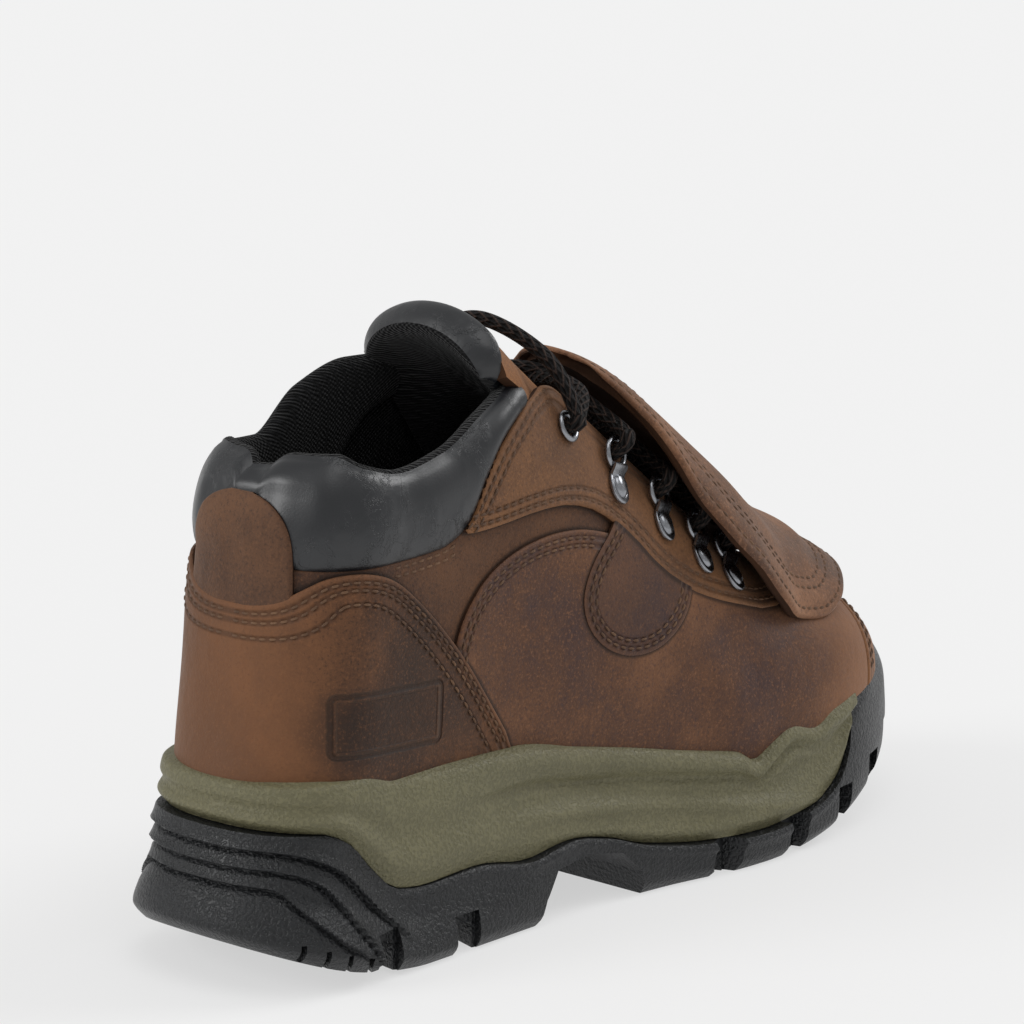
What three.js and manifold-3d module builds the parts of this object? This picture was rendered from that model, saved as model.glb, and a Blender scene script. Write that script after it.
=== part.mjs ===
// A metatarsal guard boot for the right foot: a low work boot with a padded collar, a lugged rubber
// outsole that rises over the toe, a waved foam midsole, a leather upper with overlaid panels, laces
// through eyelets and D-rings, and a padded guard flap that covers the laces and the instep.
// Millimetres. X runs from heel to toe, -Y is the outer (lateral) side, +Z is up, and the boot stands
// on Z = 0.
import * as THREE from "three";
import { mergeVertices } from "three/addons/utils/BufferGeometryUtils.js";
import Module from "manifold-3d";

const wasm = await Module();
wasm.setup();

// Driving sizes.
const LENGTH = 305; // outsole, heel to toe
const BALL_HALF = 55; // half the outsole's width at the ball
const HEEL_HALF = 42.5; // half the outsole's width at the heel
const BOOT_HEIGHT = 182; // ground to the top of the tongue
const COLLAR_BACK = 151; // ground to the collar's top at the heel
const RIM_HEEL = 60; // ground to the midsole's rim at the heel
const RIM_BALL = 33; // and at its lowest, by the ball
const TOE_TOP = 77; // ground to the top of the toe box
const TOE_SPRING = 27; // how far the tip of the tread stands off the ground
const LUG_DEPTH = 8; // depth of the tread
const WALL = 2.2; // thickness of the upper
const PANEL = 1.5; // thickness of a leather overlay
const EYESTAY = 2.1; // thickness of the doubled eyestay
const GAP = 0.3; // clearance between pieces that touch
const COLLAR_THICK = 11; // padded collar, outside to inside
const TONGUE_THICK = 3; // leather of the tongue
const TONGUE_PAD = 5.5; // foam behind the tongue
const TONGUE_HALF = 32; // half the tongue's width
const THROAT_HALF = 19; // half the gap between the eyestays
const INSOLE_THICK = 4;
const GUARD_HALF = 43; // half the width of the guard flap
const GUARD_THICK = 4.4; // padded guard, at its middle
const GUARD_EDGE = 3; // and at its edge
const LACE = 4.4; // lace diameter
const EYELET_OUT = 5; // eyelet flange radius
const EYELET_IN = 2.9; // eyelet hole radius
const RING_R = 5.6; // D-ring's outer radius
const RING_WIRE = 0.95; // D-ring's wire radius
const RIVET_R = 3.4; // cap of the rivet that holds a D-ring

const UPPER_BACK = 13; // how far the upper's heel stands in from the outsole's
const UPPER_FRONT = 13; // and its toe
const BACK_LEAN = 11; // how far the heel leans forward on its way up
const COLLAR_LEAN = 12; // and how much further the collar does

const clamp = (v, low, high) => Math.min(high, Math.max(low, v));

// A table's column at a share of the length, through its rows on a smooth curve that never overshoots.
function column(rows, name, at) {
  const last = rows.length - 1;
  if (at <= rows[0].at) return rows[0][name];
  if (at >= rows[last].at) return rows[last][name];
  const i = rows.findIndex((row) => row.at > at) - 1;
  const rise = (k) => (rows[k + 1][name] - rows[k][name]) / (rows[k + 1].at - rows[k].at);
  const slope = (k) => {
    if (k === 0 || k === last) return rise(Math.min(k, last - 1));
    const [a, b] = [rise(k - 1), rise(k)];
    return a * b <= 0 ? 0 : (2 * a * b) / (a + b);
  };
  const span = rows[i + 1].at - rows[i].at;
  const t = (at - rows[i].at) / span;
  const [t2, t3] = [t * t, t * t * t];
  return (
    (2 * t3 - 3 * t2 + 1) * rows[i][name] +
    (t3 - 2 * t2 + t) * span * slope(i) +
    (3 * t2 - 2 * t3) * rows[i + 1][name] +
    (t3 - t2) * span * slope(i + 1)
  );
}

// The round end of an outline: 0 at its tip and 1 from `reach` on.
const roundEnd = (inward, reach, power) =>
  (1 - (1 - clamp(inward / reach, 0, 1)) ** power) ** (1 / power);

// Outsole, as seen from above: widths as shares of the ball's half width.
const SOLE_PLAN = [
  { at: 0.0, lateral: HEEL_HALF / BALL_HALF, medial: (HEEL_HALF - 2) / BALL_HALF },
  { at: 0.2, lateral: HEEL_HALF / BALL_HALF, medial: (HEEL_HALF - 2) / BALL_HALF },
  { at: 0.4, lateral: 0.77, medial: 0.73 },
  { at: 0.52, lateral: 0.84, medial: 0.79 },
  { at: 0.64, lateral: 0.97, medial: 0.92 },
  { at: 0.73, lateral: 1.0, medial: 0.98 },
  { at: 0.85, lateral: 0.98, medial: 0.97 },
  { at: 1.0, lateral: 0.94, medial: 0.94 },
];
const HEEL_ROUND = 0.115; // shares of the length over which the outline rounds off
const TOE_ROUND = 0.25;
const TOE_SWING = 5; // how far the toe swings inward
const swing = (share) => TOE_SWING * clamp((share - 0.6) / 0.4, 0, 1) ** 1.6;

// Height of the tread's underside: a bevelled heel, a flat middle and a toe that springs up.
const HEEL_BEVEL = 15;
function treadHeight(share) {
  const heel = HEEL_BEVEL * clamp(1 - share / 0.2, 0, 1) ** 1.6;
  return heel + TOE_SPRING * clamp((share - 0.66) / 0.34, 0, 1) ** 1.75;
}

// Side view of the sole: the midsole's rim, and the line where midsole and outsole meet.
const RIM_LINE = [
  { at: 0.0, z: RIM_HEEL },
  { at: 0.13, z: RIM_HEEL },
  { at: 0.17, z: RIM_HEEL - 3.5 },
  { at: 0.24, z: RIM_HEEL - 4 },
  { at: 0.34, z: RIM_HEEL - 5 },
  { at: 0.41, z: RIM_HEEL - 9 },
  { at: 0.49, z: RIM_HEEL - 14 },
  { at: 0.59, z: RIM_BALL + 6 },
  { at: 0.628, z: RIM_BALL + 3.5 },
  { at: 0.65, z: RIM_BALL },
  { at: 0.67, z: RIM_BALL + 3.5 },
  { at: 0.705, z: RIM_BALL + 8.5 },
  { at: 0.74, z: RIM_BALL + 6 },
  { at: 0.772, z: RIM_BALL + 10.5 },
  { at: 0.83, z: RIM_BALL + 13 },
  { at: 1.0, z: RIM_BALL + 19 },
];
const PARTING_LINE = [
  { at: 0.0, z: 47 },
  { at: 0.08, z: 45.5 },
  { at: 0.11, z: 41 },
  { at: 0.135, z: 32.5 },
  { at: 0.165, z: 24.5 },
  { at: 0.2, z: 23 },
  { at: 0.27, z: 24 },
  { at: 0.34, z: 21 },
  { at: 0.4, z: 23 },
  { at: 0.45, z: 20.5 },
  { at: 0.5, z: 15.5 },
  { at: 0.58, z: 11.5 },
  { at: 0.66, z: 10.5 },
  { at: 0.73, z: 13.5 },
  { at: 0.77, z: 18 },
  { at: 0.795, z: 26 },
  { at: 0.81, z: 40 },
  { at: 0.822, z: 60 },
];

// Sections of the upper: half widths as shares of the ball's, heights of its underside, widest line and
// top as shares of the boot's height, and how square its arch is. Behind the collar the top is that of a
// full leg.
const TOE_SHARE = TOE_TOP / BOOT_HEIGHT;
const UPPER_SECTIONS = [
  { at: 0.0, lateral: 0.6, medial: 0.58, under: 0.25, widest: 0.39, top: 1.18, square: 4.0 },
  { at: 0.16, lateral: 0.6, medial: 0.575, under: 0.24, widest: 0.4, top: 1.18, square: 4.0 },
  { at: 0.3, lateral: 0.61, medial: 0.585, under: 0.22, widest: 0.41, top: 1.065, square: 3.4 },
  { at: 0.425, lateral: 0.67, medial: 0.63, under: 0.19, widest: 0.4, top: 0.925, square: 2.4 },
  { at: 0.5, lateral: 0.725, medial: 0.68, under: 0.165, widest: 0.375, top: 0.824, square: 2.05 },
  { at: 0.565, lateral: 0.785, medial: 0.735, under: 0.15, widest: 0.335, top: 0.736, square: 1.87 },
  { at: 0.62, lateral: 0.84, medial: 0.8, under: 0.14, widest: 0.3, top: 0.654, square: 1.82 },
  { at: 0.675, lateral: 0.89, medial: 0.87, under: 0.135, widest: 0.27, top: 0.575, square: 1.85 },
  { at: 0.755, lateral: 0.925, medial: 0.925, under: 0.135, widest: 0.25, top: 0.482, square: 2.2 },
  { at: 0.84, lateral: 0.92, medial: 0.92, under: 0.145, widest: 0.25, top: TOE_SHARE, square: 2.6 },
  { at: 0.9, lateral: 0.91, medial: 0.89, under: 0.155, widest: 0.25, top: 0.365, square: 2.5 },
  { at: 0.935, lateral: 0.9, medial: 0.87, under: 0.165, widest: 0.24, top: 0.295, square: 2.4 },
  { at: 0.9575, lateral: 0.9, medial: 0.87, under: 0.17, widest: 0.22, top: 0.25, square: 2.4 },
];
const UPPER_HEEL_ROUND = 0.105;
const UPPER_TOE_ROUND = 0.2;
const UNDER_SHARE = 0.93; // the upper's width at its underside, as a share of its widest

// How far a point of the upper leans forward from its station, at its height.
function lean(share, z) {
  const up = clamp((z - RIM_HEEL + 5) / (COLLAR_BACK - RIM_HEEL - 15), 0, 1);
  const roll = clamp((z - COLLAR_BACK + 33) / 33, 0, 1.2);
  const fade = clamp(1 - (share * LENGTH - UPPER_BACK) / 62, 0, 1);
  return (BACK_LEAN * Math.sin((up * Math.PI) / 2) + COLLAR_LEAN * roll * roll) * fade * fade;
}

// The upper's half width on one side, at a station and a height.
function upperHalf(share, z, side) {
  const row = (name) => column(UPPER_SECTIONS, name, share);
  const x = share * LENGTH;
  const reach = UPPER_HEEL_ROUND * LENGTH * (1 + 0.55 * clamp((z - 105) / 40, 0, 1));
  const ends =
    roundEnd(x - UPPER_BACK, reach, 2.15) *
    roundEnd(LENGTH - UPPER_FRONT - x, UPPER_TOE_ROUND * LENGTH, 2.2);
  const wide = row(side < 0 ? "lateral" : "medial") * BALL_HALF * ends;
  const [under, widest, top] = ["under", "widest", "top"].map((name) => row(name) * BOOT_HEIGHT);
  if (z < widest) {
    const t = clamp((z - under) / (widest - under), 0, 1);
    return wide * (UNDER_SHARE + (1 - UNDER_SHARE) * Math.sin((t * Math.PI) / 2));
  }
  const n = row("square");
  return wide * (1 - clamp((z - widest) / (top - widest), 0, 1) ** n) ** (1 / n);
}

// A point on the upper's outside.
function skin(share, z, side) {
  return new THREE.Vector3(
    share * LENGTH + lean(share, z),
    swing(share) + side * upperHalf(share, z, side),
    z,
  );
}

// A point on the upper's outside moved out along its normal.
function skinOut(share, z, side, out) {
  const step = 0.004;
  const here = skin(share, z, side);
  const along = skin(share + step, z, side).sub(skin(share - step, z, side));
  const up = skin(share, z + 1, side).sub(skin(share, z - 1, side));
  const normal = new THREE.Vector3().crossVectors(along, up).multiplyScalar(-side).normalize();
  return here.addScaledVector(normal, out);
}

// Shells and solids from lists of points and faces.
function shellOf(points, faces) {
  const geometry = new THREE.BufferGeometry();
  const position = new Float32Array(points.flatMap((p) => [p.x, p.y, p.z]));
  geometry.setAttribute("position", new THREE.BufferAttribute(position, 3));
  geometry.setIndex(faces.flat());
  return geometry;
}

const solidFrom = (points, faces) => solidOf(shellOf(points, faces));

function solidOf(source) {
  let geometry = source.clone();
  geometry.deleteAttribute("normal");
  geometry.deleteAttribute("uv");
  geometry = mergeVertices(geometry, 1e-4);
  const index = geometry.index.array;
  const kept = [];
  for (let i = 0; i < index.length; i += 3) {
    const [a, b, c] = [index[i], index[i + 1], index[i + 2]];
    if (a !== b && b !== c && a !== c) kept.push(a, b, c);
  }
  const mesh = new wasm.Mesh({
    numProp: 3,
    vertProperties: geometry.attributes.position.array,
    triVerts: new Uint32Array(kept),
  });
  mesh.merge();
  return new wasm.Manifold(mesh);
}

// A closed solid through rings that all have the same number of points; the first and last ring are capped.
function loft(rings) {
  const n = rings[0].length;
  const points = rings.flat();
  const faces = [];
  for (let r = 0; r < rings.length - 1; r++)
    for (let i = 0; i < n; i++) {
      const [a, b] = [r * n + i, r * n + ((i + 1) % n)];
      faces.push([a, b, b + n], [a, b + n, a + n]);
    }
  // Each cap is a strip of faces from the ring's one half to its other.
  const cap = (first, flip) => {
    const add = (a, b, c) => faces.push((flip ? [c, b, a] : [a, b, c]).map((k) => first + k));
    for (let i = 0; 2 * i < n - 1; i++) {
      const [a, b, c, d] = [i, i + 1, n - 1 - i, (n - i) % n];
      if (b !== c) add(a, b, c);
      if (d !== a) add(a, c, d);
    }
  };
  cap(0, true);
  cap((rings.length - 1) * n, false);
  return solidFrom(points, faces);
}

// The body of a flat outline in the side view, carried right across the boot.
function acrossBoot(outline, low = -BALL_HALF * 2, high = BALL_HALF * 2) {
  const shape = new THREE.Shape(outline.map(([x, z]) => new THREE.Vector2(x, z)));
  const body = new THREE.ExtrudeGeometry(shape, { depth: high - low, bevelEnabled: false, curveSegments: 8 });
  body.rotateX(Math.PI / 2).translate(0, high, 0);
  return solidOf(body);
}

// The body of a flat outline in the plan view, between two heights.
function upright(outline, low, high) {
  const shape = new THREE.Shape(outline.map(([x, y]) => new THREE.Vector2(x, y)));
  const body = new THREE.ExtrudeGeometry(shape, { depth: high - low, bevelEnabled: false });
  body.translate(0, 0, low);
  return solidOf(body);
}

// The region above or below a height line in the side view.
function beside(rows, shift, above) {
  const far = BOOT_HEIGHT * 2;
  const steps = 24;
  const [first, last] = [rows[0].at, rows[rows.length - 1].at];
  const line = [];
  for (let i = 0; i <= steps; i++) {
    const at = first + ((last - first) * i) / steps;
    line.push([at * LENGTH, column(rows, "z", at) + shift]);
  }
  const end = above ? far : -far;
  const [back, front] = [-LENGTH, 2 * LENGTH];
  return acrossBoot([[back, end], [back, line[0][1]], ...line, [front, line[steps][1]], [front, end]]);
}

// The upper's closed form, grown or shrunk by `out`: stations from heel to toe, each an arch from the lateral
// underside over the top to the medial underside.
const STATIONS = 20;
const ARCH = 5;
function upperForm(out, drop = 0) {
  const first = UPPER_BACK / LENGTH;
  const last = 1 - UPPER_FRONT / LENGTH;
  const sections = [];
  for (let i = 0; i <= STATIONS; i++) {
    const share = first + ((last - first) * (1 - Math.cos((Math.PI * i) / STATIONS))) / 2;
    const row = (name) => column(UPPER_SECTIONS, name, share) * BOOT_HEIGHT;
    const [under, widest, top] = [row("under"), row("widest"), row("top")];
    const n = column(UPPER_SECTIONS, "square", share);
    const rise = [under, (under + widest) / 2, widest];
    for (let j = 1; j <= ARCH; j++)
      rise.push(widest + (top - widest) * Math.sin((Math.PI * j) / (2 * ARCH)) ** (2 / n));
    const arch = [
      ...rise.map((z) => skin(share, z, -1)),
      ...rise.slice(0, -1).reverse().map((z) => skin(share, z, 1)),
    ];
    sections.push(arch);
  }
  const across = sections[0].length;
  const points = sections.flat();
  const faces = [];
  for (let i = 0; i < STATIONS; i++)
    for (let j = 0; j < across - 1; j++) {
      const a = i * across + j;
      faces.push([a, a + across, a + across + 1], [a, a + across + 1, a + 1]);
    }
  // Vertex normals of the arch alone, so that the open underside doesn't tilt them.
  const merged = mergeVertices(shellOf(points, faces), 1e-3);
  merged.computeVertexNormals();
  const normalAt = new Map();
  const key = (x, y, z) => [x, y, z].map((v) => Math.round(v * 100)).join(" ");
  const [places, normals] = [merged.attributes.position, merged.attributes.normal];
  for (let i = 0; i < places.count; i++) {
    const place = new THREE.Vector3().fromBufferAttribute(places, i);
    normalAt.set(key(...place), new THREE.Vector3().fromBufferAttribute(normals, i));
  }
  const grown = points.map((q) => {
    const normal = normalAt.get(key(...q.toArray().map(Math.fround))) ?? new THREE.Vector3();
    return q.clone().addScaledVector(normal, out);
  });
  for (let i = 0; i <= STATIONS; i++)
    for (const j of [0, across - 1]) grown[i * across + j].z = points[i * across + j].z - drop;
  for (let i = 0; i < STATIONS; i++) {
    const [a, b] = [i * across, i * across + across - 1];
    faces.push([a, b, b + across], [a, b + across, a + across]);
  }
  return solidFrom(grown, faces);
}

// The sole's outline as seen from above, moved in by `inset`, at heights given by `height`.
const AROUND = 22;
function soleRing(inset, height) {
  const outline = [];
  for (let i = 0; i < 2 * AROUND; i++) {
    const side = i < AROUND ? -1 : 1;
    const turn = (Math.PI * (i < AROUND ? i : 2 * AROUND - i)) / AROUND;
    const share = (1 - Math.cos(turn)) / 2;
    const x = share * LENGTH;
    const half =
      column(SOLE_PLAN, side < 0 ? "lateral" : "medial", share) * BALL_HALF *
      roundEnd(x, HEEL_ROUND * LENGTH, 2.3) * roundEnd(LENGTH - x, TOE_ROUND * LENGTH, 2.1);
    outline.push(new THREE.Vector2(x, swing(share) + side * half));
  }
  return outline.map((p, i) => {
    const n = outline.length;
    const along = outline[(i + 1) % n].clone().sub(outline[(i + n - 1) % n]).normalize();
    const share = clamp(p.x / LENGTH, 0, 1);
    const move = typeof inset === "function" ? inset(share) : inset;
    return new THREE.Vector3(p.x - along.y * move, p.y + along.x * move, height(share));
  });
}

const ROW = (at, value) => ({ at, z: value });
// How far the midsole's side stands in from the outsole's edge.
const MIDSOLE_INSET = [
  ROW(0, 10.5), ROW(0.12, 7.5), ROW(0.22, 5), ROW(0.4, 3), ROW(0.7, 3.5), ROW(0.85, 6), ROW(1, 9),
];
const midsoleInset = (share) => column(MIDSOLE_INSET, "z", share);
const parting = (share) => column(PARTING_LINE, "z", share);
const rim = (share) => column(RIM_LINE, "z", share);

// Heights through the midsole's side, as shares from its underside to its rim, and how far each stands in.
const MIDSOLE_SIDE = [
  { at: -0.6, inset: 1.5 },
  { at: 0.0, inset: 0.6 },
  { at: 0.22, inset: -0.4 },
  { at: 0.5, inset: 1.6 },
  { at: 0.7, inset: 0.4 },
  { at: 0.9, inset: 1.4 },
  { at: 1.0, inset: 3.4 },
];

function midsole() {
  const rings = MIDSOLE_SIDE.map((row) =>
    soleRing(
      (share) => midsoleInset(share) + row.inset,
      (share) => {
        const low = Math.min(parting(share), rim(share) - 12);
        return low + (rim(share) - low) * row.at;
      },
    ),
  );
  return loft(rings)
    .intersect(beside(PARTING_LINE, GAP, true))
    .subtract(upperForm(GAP, GAP))
    .subtract(leatherRoom(PANEL));
}

// Heights through the outsole's side at the heel, as shares of the height there, and how far each stands in.
const OUTSOLE_SIDE = [
  { at: 0.0, heel: 3.5, toe: 3 },
  { at: 0.1, heel: 1.2, toe: 1.2 },
  { at: 0.3, heel: 0, toe: 0 },
  { at: 0.4, heel: 0.6, toe: 0 },
  { at: 0.5, heel: 6, toe: 0.4 },
  { at: 0.64, heel: 6.6, toe: 1 },
  { at: 0.67, heel: 5.2, toe: 1.4 },
  { at: 0.77, heel: 5.6, toe: 1.8 },
  { at: 0.82, heel: 8.4, toe: 2.4 },
  { at: 0.85, heel: 7.2, toe: 3 },
  { at: 1.0, heel: 8.6, toe: 6 },
];
const OUTSOLE_TOP = [ROW(0, 48), ROW(0.1, 44), ROW(0.2, 30), ROW(0.75, 30), ROW(0.83, 46), ROW(1, 55)];

// Gaps between the lugs: place along the boot, width and slant, from the edge inward.
const LUG_GAPS = [
  { at: 0.18, wide: 5, slant: 12 },
  { at: 0.258, wide: 6, slant: 16 },
  { at: 0.61, wide: 7, slant: -22 },
  { at: 0.708, wide: 6, slant: -14 },
  { at: 0.787, wide: 6, slant: -6 },
  { at: 0.855, wide: 6, slant: 8 },
  { at: 0.915, wide: 6, slant: 24 },
];
const LUG_REACH = 0.42; // how far a gap runs in, as a share of the ball's width

function outsole() {
  const ramp = (share) => clamp((share - 0.14) / 0.2, 0, 1);
  const rings = OUTSOLE_SIDE.map((row) =>
    soleRing(
      (share) => row.heel + (row.toe - row.heel) * ramp(share),
      (share) => treadHeight(share) + (column(OUTSOLE_TOP, "z", share) - treadHeight(share)) * row.at,
    ),
  );
  let body = loft(rings).intersect(beside(PARTING_LINE, 0, false));
  const [breast, shank] = [0.345, 0.5]; // where the heel block ends and the forefoot's tread begins
  body = body.subtract(
    acrossBoot([
      [breast * LENGTH, -5],
      [(breast + 0.012) * LENGTH, LUG_DEPTH],
      [(breast + 0.03) * LENGTH, LUG_DEPTH * 2],
      [(breast + shank) * 0.5 * LENGTH, LUG_DEPTH * 2.2],
      [(shank - 0.035) * LENGTH, LUG_DEPTH * 1.9],
      [(shank - 0.01) * LENGTH, LUG_DEPTH],
      [shank * LENGTH, -5],
    ]),
  );
  for (const gap of LUG_GAPS)
    for (const side of [-1, 1]) {
      const slot = new THREE.BoxGeometry(gap.wide, BALL_HALF * 2 * LUG_REACH, LUG_DEPTH * 2);
      const middle = BALL_HALF * (column(SOLE_PLAN, side < 0 ? "lateral" : "medial", gap.at) + 0.1);
      slot.translate(0, side * (BALL_HALF * LUG_REACH * -0.5), 0);
      slot.rotateZ(THREE.MathUtils.degToRad(gap.slant * side));
      const ends = roundEnd((1 - gap.at) * LENGTH, TOE_ROUND * LENGTH, 2.1);
      slot.translate(gap.at * LENGTH, swing(gap.at) + side * middle * ends, treadHeight(gap.at));
      body = body.subtract(solidOf(slot));
    }
  for (const [from, to, half] of [[0.06, breast, 0.26], [shank, 0.93, 0.34]])
    body = body.subtract(channel(from, to, -half)).subtract(channel(from, to, half));
  return body.subtract(upperForm(GAP, GAP)).subtract(leatherRoom(CAP));
}

// The room of a leather overlay above the midsole's rim, clearance included.
function leatherRoom(thick) {
  return upperForm(2 * GAP + thick).subtract(beside(RIM_LINE, GAP, false));
}

// A zigzag groove along the tread.
function channel(from, to, offset) {
  const turns = Math.round((to - from) / 0.1);
  const [half, swerve] = [2.2, 3.2];
  const line = [];
  for (let i = 0; i <= turns; i++) {
    const share = from + ((to - from) * i) / turns;
    line.push([share * LENGTH, swing(share) + offset * BALL_HALF + (i % 2 ? swerve : -swerve)]);
  }
  let groove = null;
  for (let i = 0; i < turns; i++) {
    const [a, b] = [line[i], line[i + 1]];
    const share = (a[0] + b[0]) / 2 / LENGTH;
    const deep = treadHeight(share) + LUG_DEPTH * 0.7;
    const piece = upright(
      [[a[0] - 1, a[1] - half], [b[0] + 1, b[1] - half], [b[0] + 1, b[1] + half], [a[0] - 1, a[1] + half]],
      -20,
      deep,
    );
    groove = groove ? groove.add(piece) : piece;
  }
  return groove;
}

// Side view of the collar: its lower edge, where the leather ends, and its top.
const COLLAR_LOW = [
  { at: 0.0, z: 121 },
  { at: 0.18, z: 120 },
  { at: 0.24, z: 121 },
  { at: 0.275, z: 125.5 },
  { at: 0.3, z: 137 },
  { at: 0.33, z: 148 },
  { at: 0.37, z: 155 },
  { at: 0.41, z: 158 },
];
const COLLAR_TOP = [
  { at: 0.0, lateral: COLLAR_BACK, medial: COLLAR_BACK },
  { at: 0.08, lateral: COLLAR_BACK + 1, medial: COLLAR_BACK },
  { at: 0.13, lateral: COLLAR_BACK - 3, medial: COLLAR_BACK - 3 },
  { at: 0.19, lateral: COLLAR_BACK - 6, medial: COLLAR_BACK - 4 },
  { at: 0.25, lateral: COLLAR_BACK - 3, medial: COLLAR_BACK + 9 },
  { at: 0.31, lateral: COLLAR_BACK + 5, medial: COLLAR_BACK + 15 },
  { at: 0.36, lateral: COLLAR_BACK + 11, medial: COLLAR_BACK + 15 },
];
const COLLAR_FRONT = 0.36; // where the collar's padding ends at the eyestay
const COLLAR_STEPS = 13;
const COLLAR_OUT = 3; // how far the padding stands proud of the leather
const sideName = (side) => (side < 0 ? "lateral" : "medial");

// Section of the collar: how far in from its outside, as a share of its thickness, and how far up.
const COLLAR_SECTION = [
  { in: 0.3, up: 0.0 },
  { in: 0.07, up: 0.18 },
  { in: 0.0, up: 0.42 },
  { in: 0.08, up: 0.72 },
  { in: 0.34, up: 0.95 },
  { in: 0.64, up: 1.0 },
  { in: 0.93, up: 0.84 },
  { in: 1.0, up: 0.4 },
  { in: 0.85, up: 0.0 },
];

function collar(grow) {
  const back = UPPER_BACK / LENGTH;
  const middle = COLLAR_SECTION.reduce((sum, p) => sum + p.in, 0) / COLLAR_SECTION.length;
  const rings = [];
  for (let i = 0; i <= 2 * COLLAR_STEPS; i++) {
    const side = i < COLLAR_STEPS ? -1 : 1;
    const turn = (Math.abs(COLLAR_STEPS - i) / COLLAR_STEPS) * (Math.PI / 2);
    const share = back + 0.0008 + (COLLAR_FRONT + grow / LENGTH - back) * (1 - Math.cos(turn));
    const low = column(COLLAR_LOW, "z", share) + GAP;
    const high = column(COLLAR_TOP, sideName(side), share);
    rings.push(
      COLLAR_SECTION.map((p) => {
        const z = low - 1.5 + (high - low + 1.5) * p.up + grow * (2 * p.up - 1);
        return skinOut(share, z, side, COLLAR_OUT - COLLAR_THICK * p.in + grow * (p.in < middle ? 1 : -1));
      }),
    );
  }
  return loft(rings).subtract(beside(COLLAR_LOW, GAP - grow, false));
}

// Regions of the side view, in shares of the length and heights in millimetres.
const region = (points) => acrossBoot(points.map(([at, z]) => [at * LENGTH, z]));
const eyestayRegion = (grow) =>
  region([
    [0.295 - grow, 122 - grow * 250],
    [0.34, 123.5 - grow * 250],
    [0.4, 125.5 - grow * 250],
    [0.45, 121 - grow * 250],
    [0.5, 107 - grow * 250],
    [0.56, 93 - grow * 250],
    [0.62, 83 - grow * 250],
    [0.7, 76 - grow * 250],
    [0.76 + grow, 82],
    [0.76 + grow, 130],
    [0.5, 220],
    [0.38, 220],
    [0.36 - grow, 158],
    [0.33 - grow, 149],
    [0.3 - grow, 137],
    [0.28 - grow, 126],
  ]);
const counterRegion = (grow) =>
  region([
    [-0.1, 20],
    [-0.1, 104 + grow * 200],
    [0.045, 104 + grow * 200],
    [0.058, 106 + grow * 200],
    [0.075, 112 + grow * 200],
    [0.11, 117 + grow * 200],
    [0.16, 115 + grow * 200],
    [0.205 + grow, 107],
    [0.25 + grow, 93],
    [0.29 + grow, 77],
    [0.325 + grow, 62],
    [0.345 + grow, 50],
    [0.36 + grow, 20],
  ]);
const patchRegion = () =>
  region([
    [0.565, 112],
    [0.49, 120],
    [0.474, 108],
    [0.45, 104],
    [0.43, 98],
    [0.422, 91],
    [0.428, 83.5],
    [0.45, 77],
    [0.48, 74.5],
    [0.51, 75.5],
    [0.54, 81],
    [0.557, 88],
    [0.562, 94],
  ]);
const toeCapRegion = (grow) =>
  region([
    [0.846 - grow, 20],
    [0.852 - grow, 60],
    [0.862 - grow, 100],
    [1.1, 100],
    [1.1, 20],
  ]);

function vampFront() {
  return region([
    [0.18, 10],
    [0.24, 80],
    [0.262, 88],
    [0.275, 93],
    [0.31, 104],
    [0.355, 112],
    [0.4, 116],
    [0.44, 118],
    [0.46, 140],
    [0.46, 220],
    [1.2, 220],
    [1.2, 10],
  ]);
}

function patch() {
  return upperForm(2 * GAP + 2 * PANEL)
    .subtract(upperForm(2 * GAP + PANEL, 20))
    .intersect(patchRegion())
    .subtract(eyestayRegion(0.001));
}

// The opening over the instep: a slot between the eyestays, round at its front end.
const THROAT_END = 0.7;
function throat(half) {
  const outline = [[0.3 * LENGTH, -half], [(THROAT_END - 0.06) * LENGTH, -half]];
  for (let i = 1; i < 8; i++) {
    const turn = (Math.PI * i) / 8 - Math.PI / 2;
    outline.push([(THROAT_END - 0.06 + 0.06 * Math.cos(turn)) * LENGTH, half * Math.sin(turn)]);
  }
  outline.push([(THROAT_END - 0.06) * LENGTH, half], [0.3 * LENGTH, half]);
  return upright(outline, 0.42 * BOOT_HEIGHT, 2 * BOOT_HEIGHT);
}

// The sheet of an overlay: from just off the upper's outside to its own thickness, above the midsole's rim.
function sheet(thick) {
  return upperForm(GAP + thick)
    .subtract(upperForm(GAP, 20))
    .subtract(beside(RIM_LINE, GAP * 2, false))
    .subtract(collarRoom(-GAP));
}

// The half of a body on one side of the boot's middle.
function oneSide(body, side) {
  const [near, far] = [side * GAP * 0.5, -side * 4 * BALL_HALF];
  const [back, front] = [-LENGTH, 2 * LENGTH];
  return body.subtract(upright([[back, near], [front, near], [front, far], [back, far]], back, front));
}

function upper() {
  let body = upperForm(0)
    .subtract(upperForm(-WALL, 20))
    .subtract(collarRoom(0))
    .subtract(throat(THROAT_HALF));
  for (const side of SIDES) body = body.subtract(eyeletHole(side));
  return body;
}

// Everything above the collar's lower edge, behind the eyestays.
function collarRoom(shift) {
  const front = [0.41 * LENGTH, 2 * LENGTH];
  return beside(COLLAR_LOW, shift, true).subtract(
    acrossBoot([[front[0], 0], [front[1], 0], [front[1], LENGTH], [front[0], LENGTH]]),
  );
}

function insole() {
  const under = UPPER_SECTIONS.map((row) => ({ at: row.at, z: row.under * BOOT_HEIGHT }));
  return upperForm(-WALL - 3 * GAP)
    .intersect(beside(under, INSOLE_THICK, false))
    .subtract(beside(under, 0.05, false));
}

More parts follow.
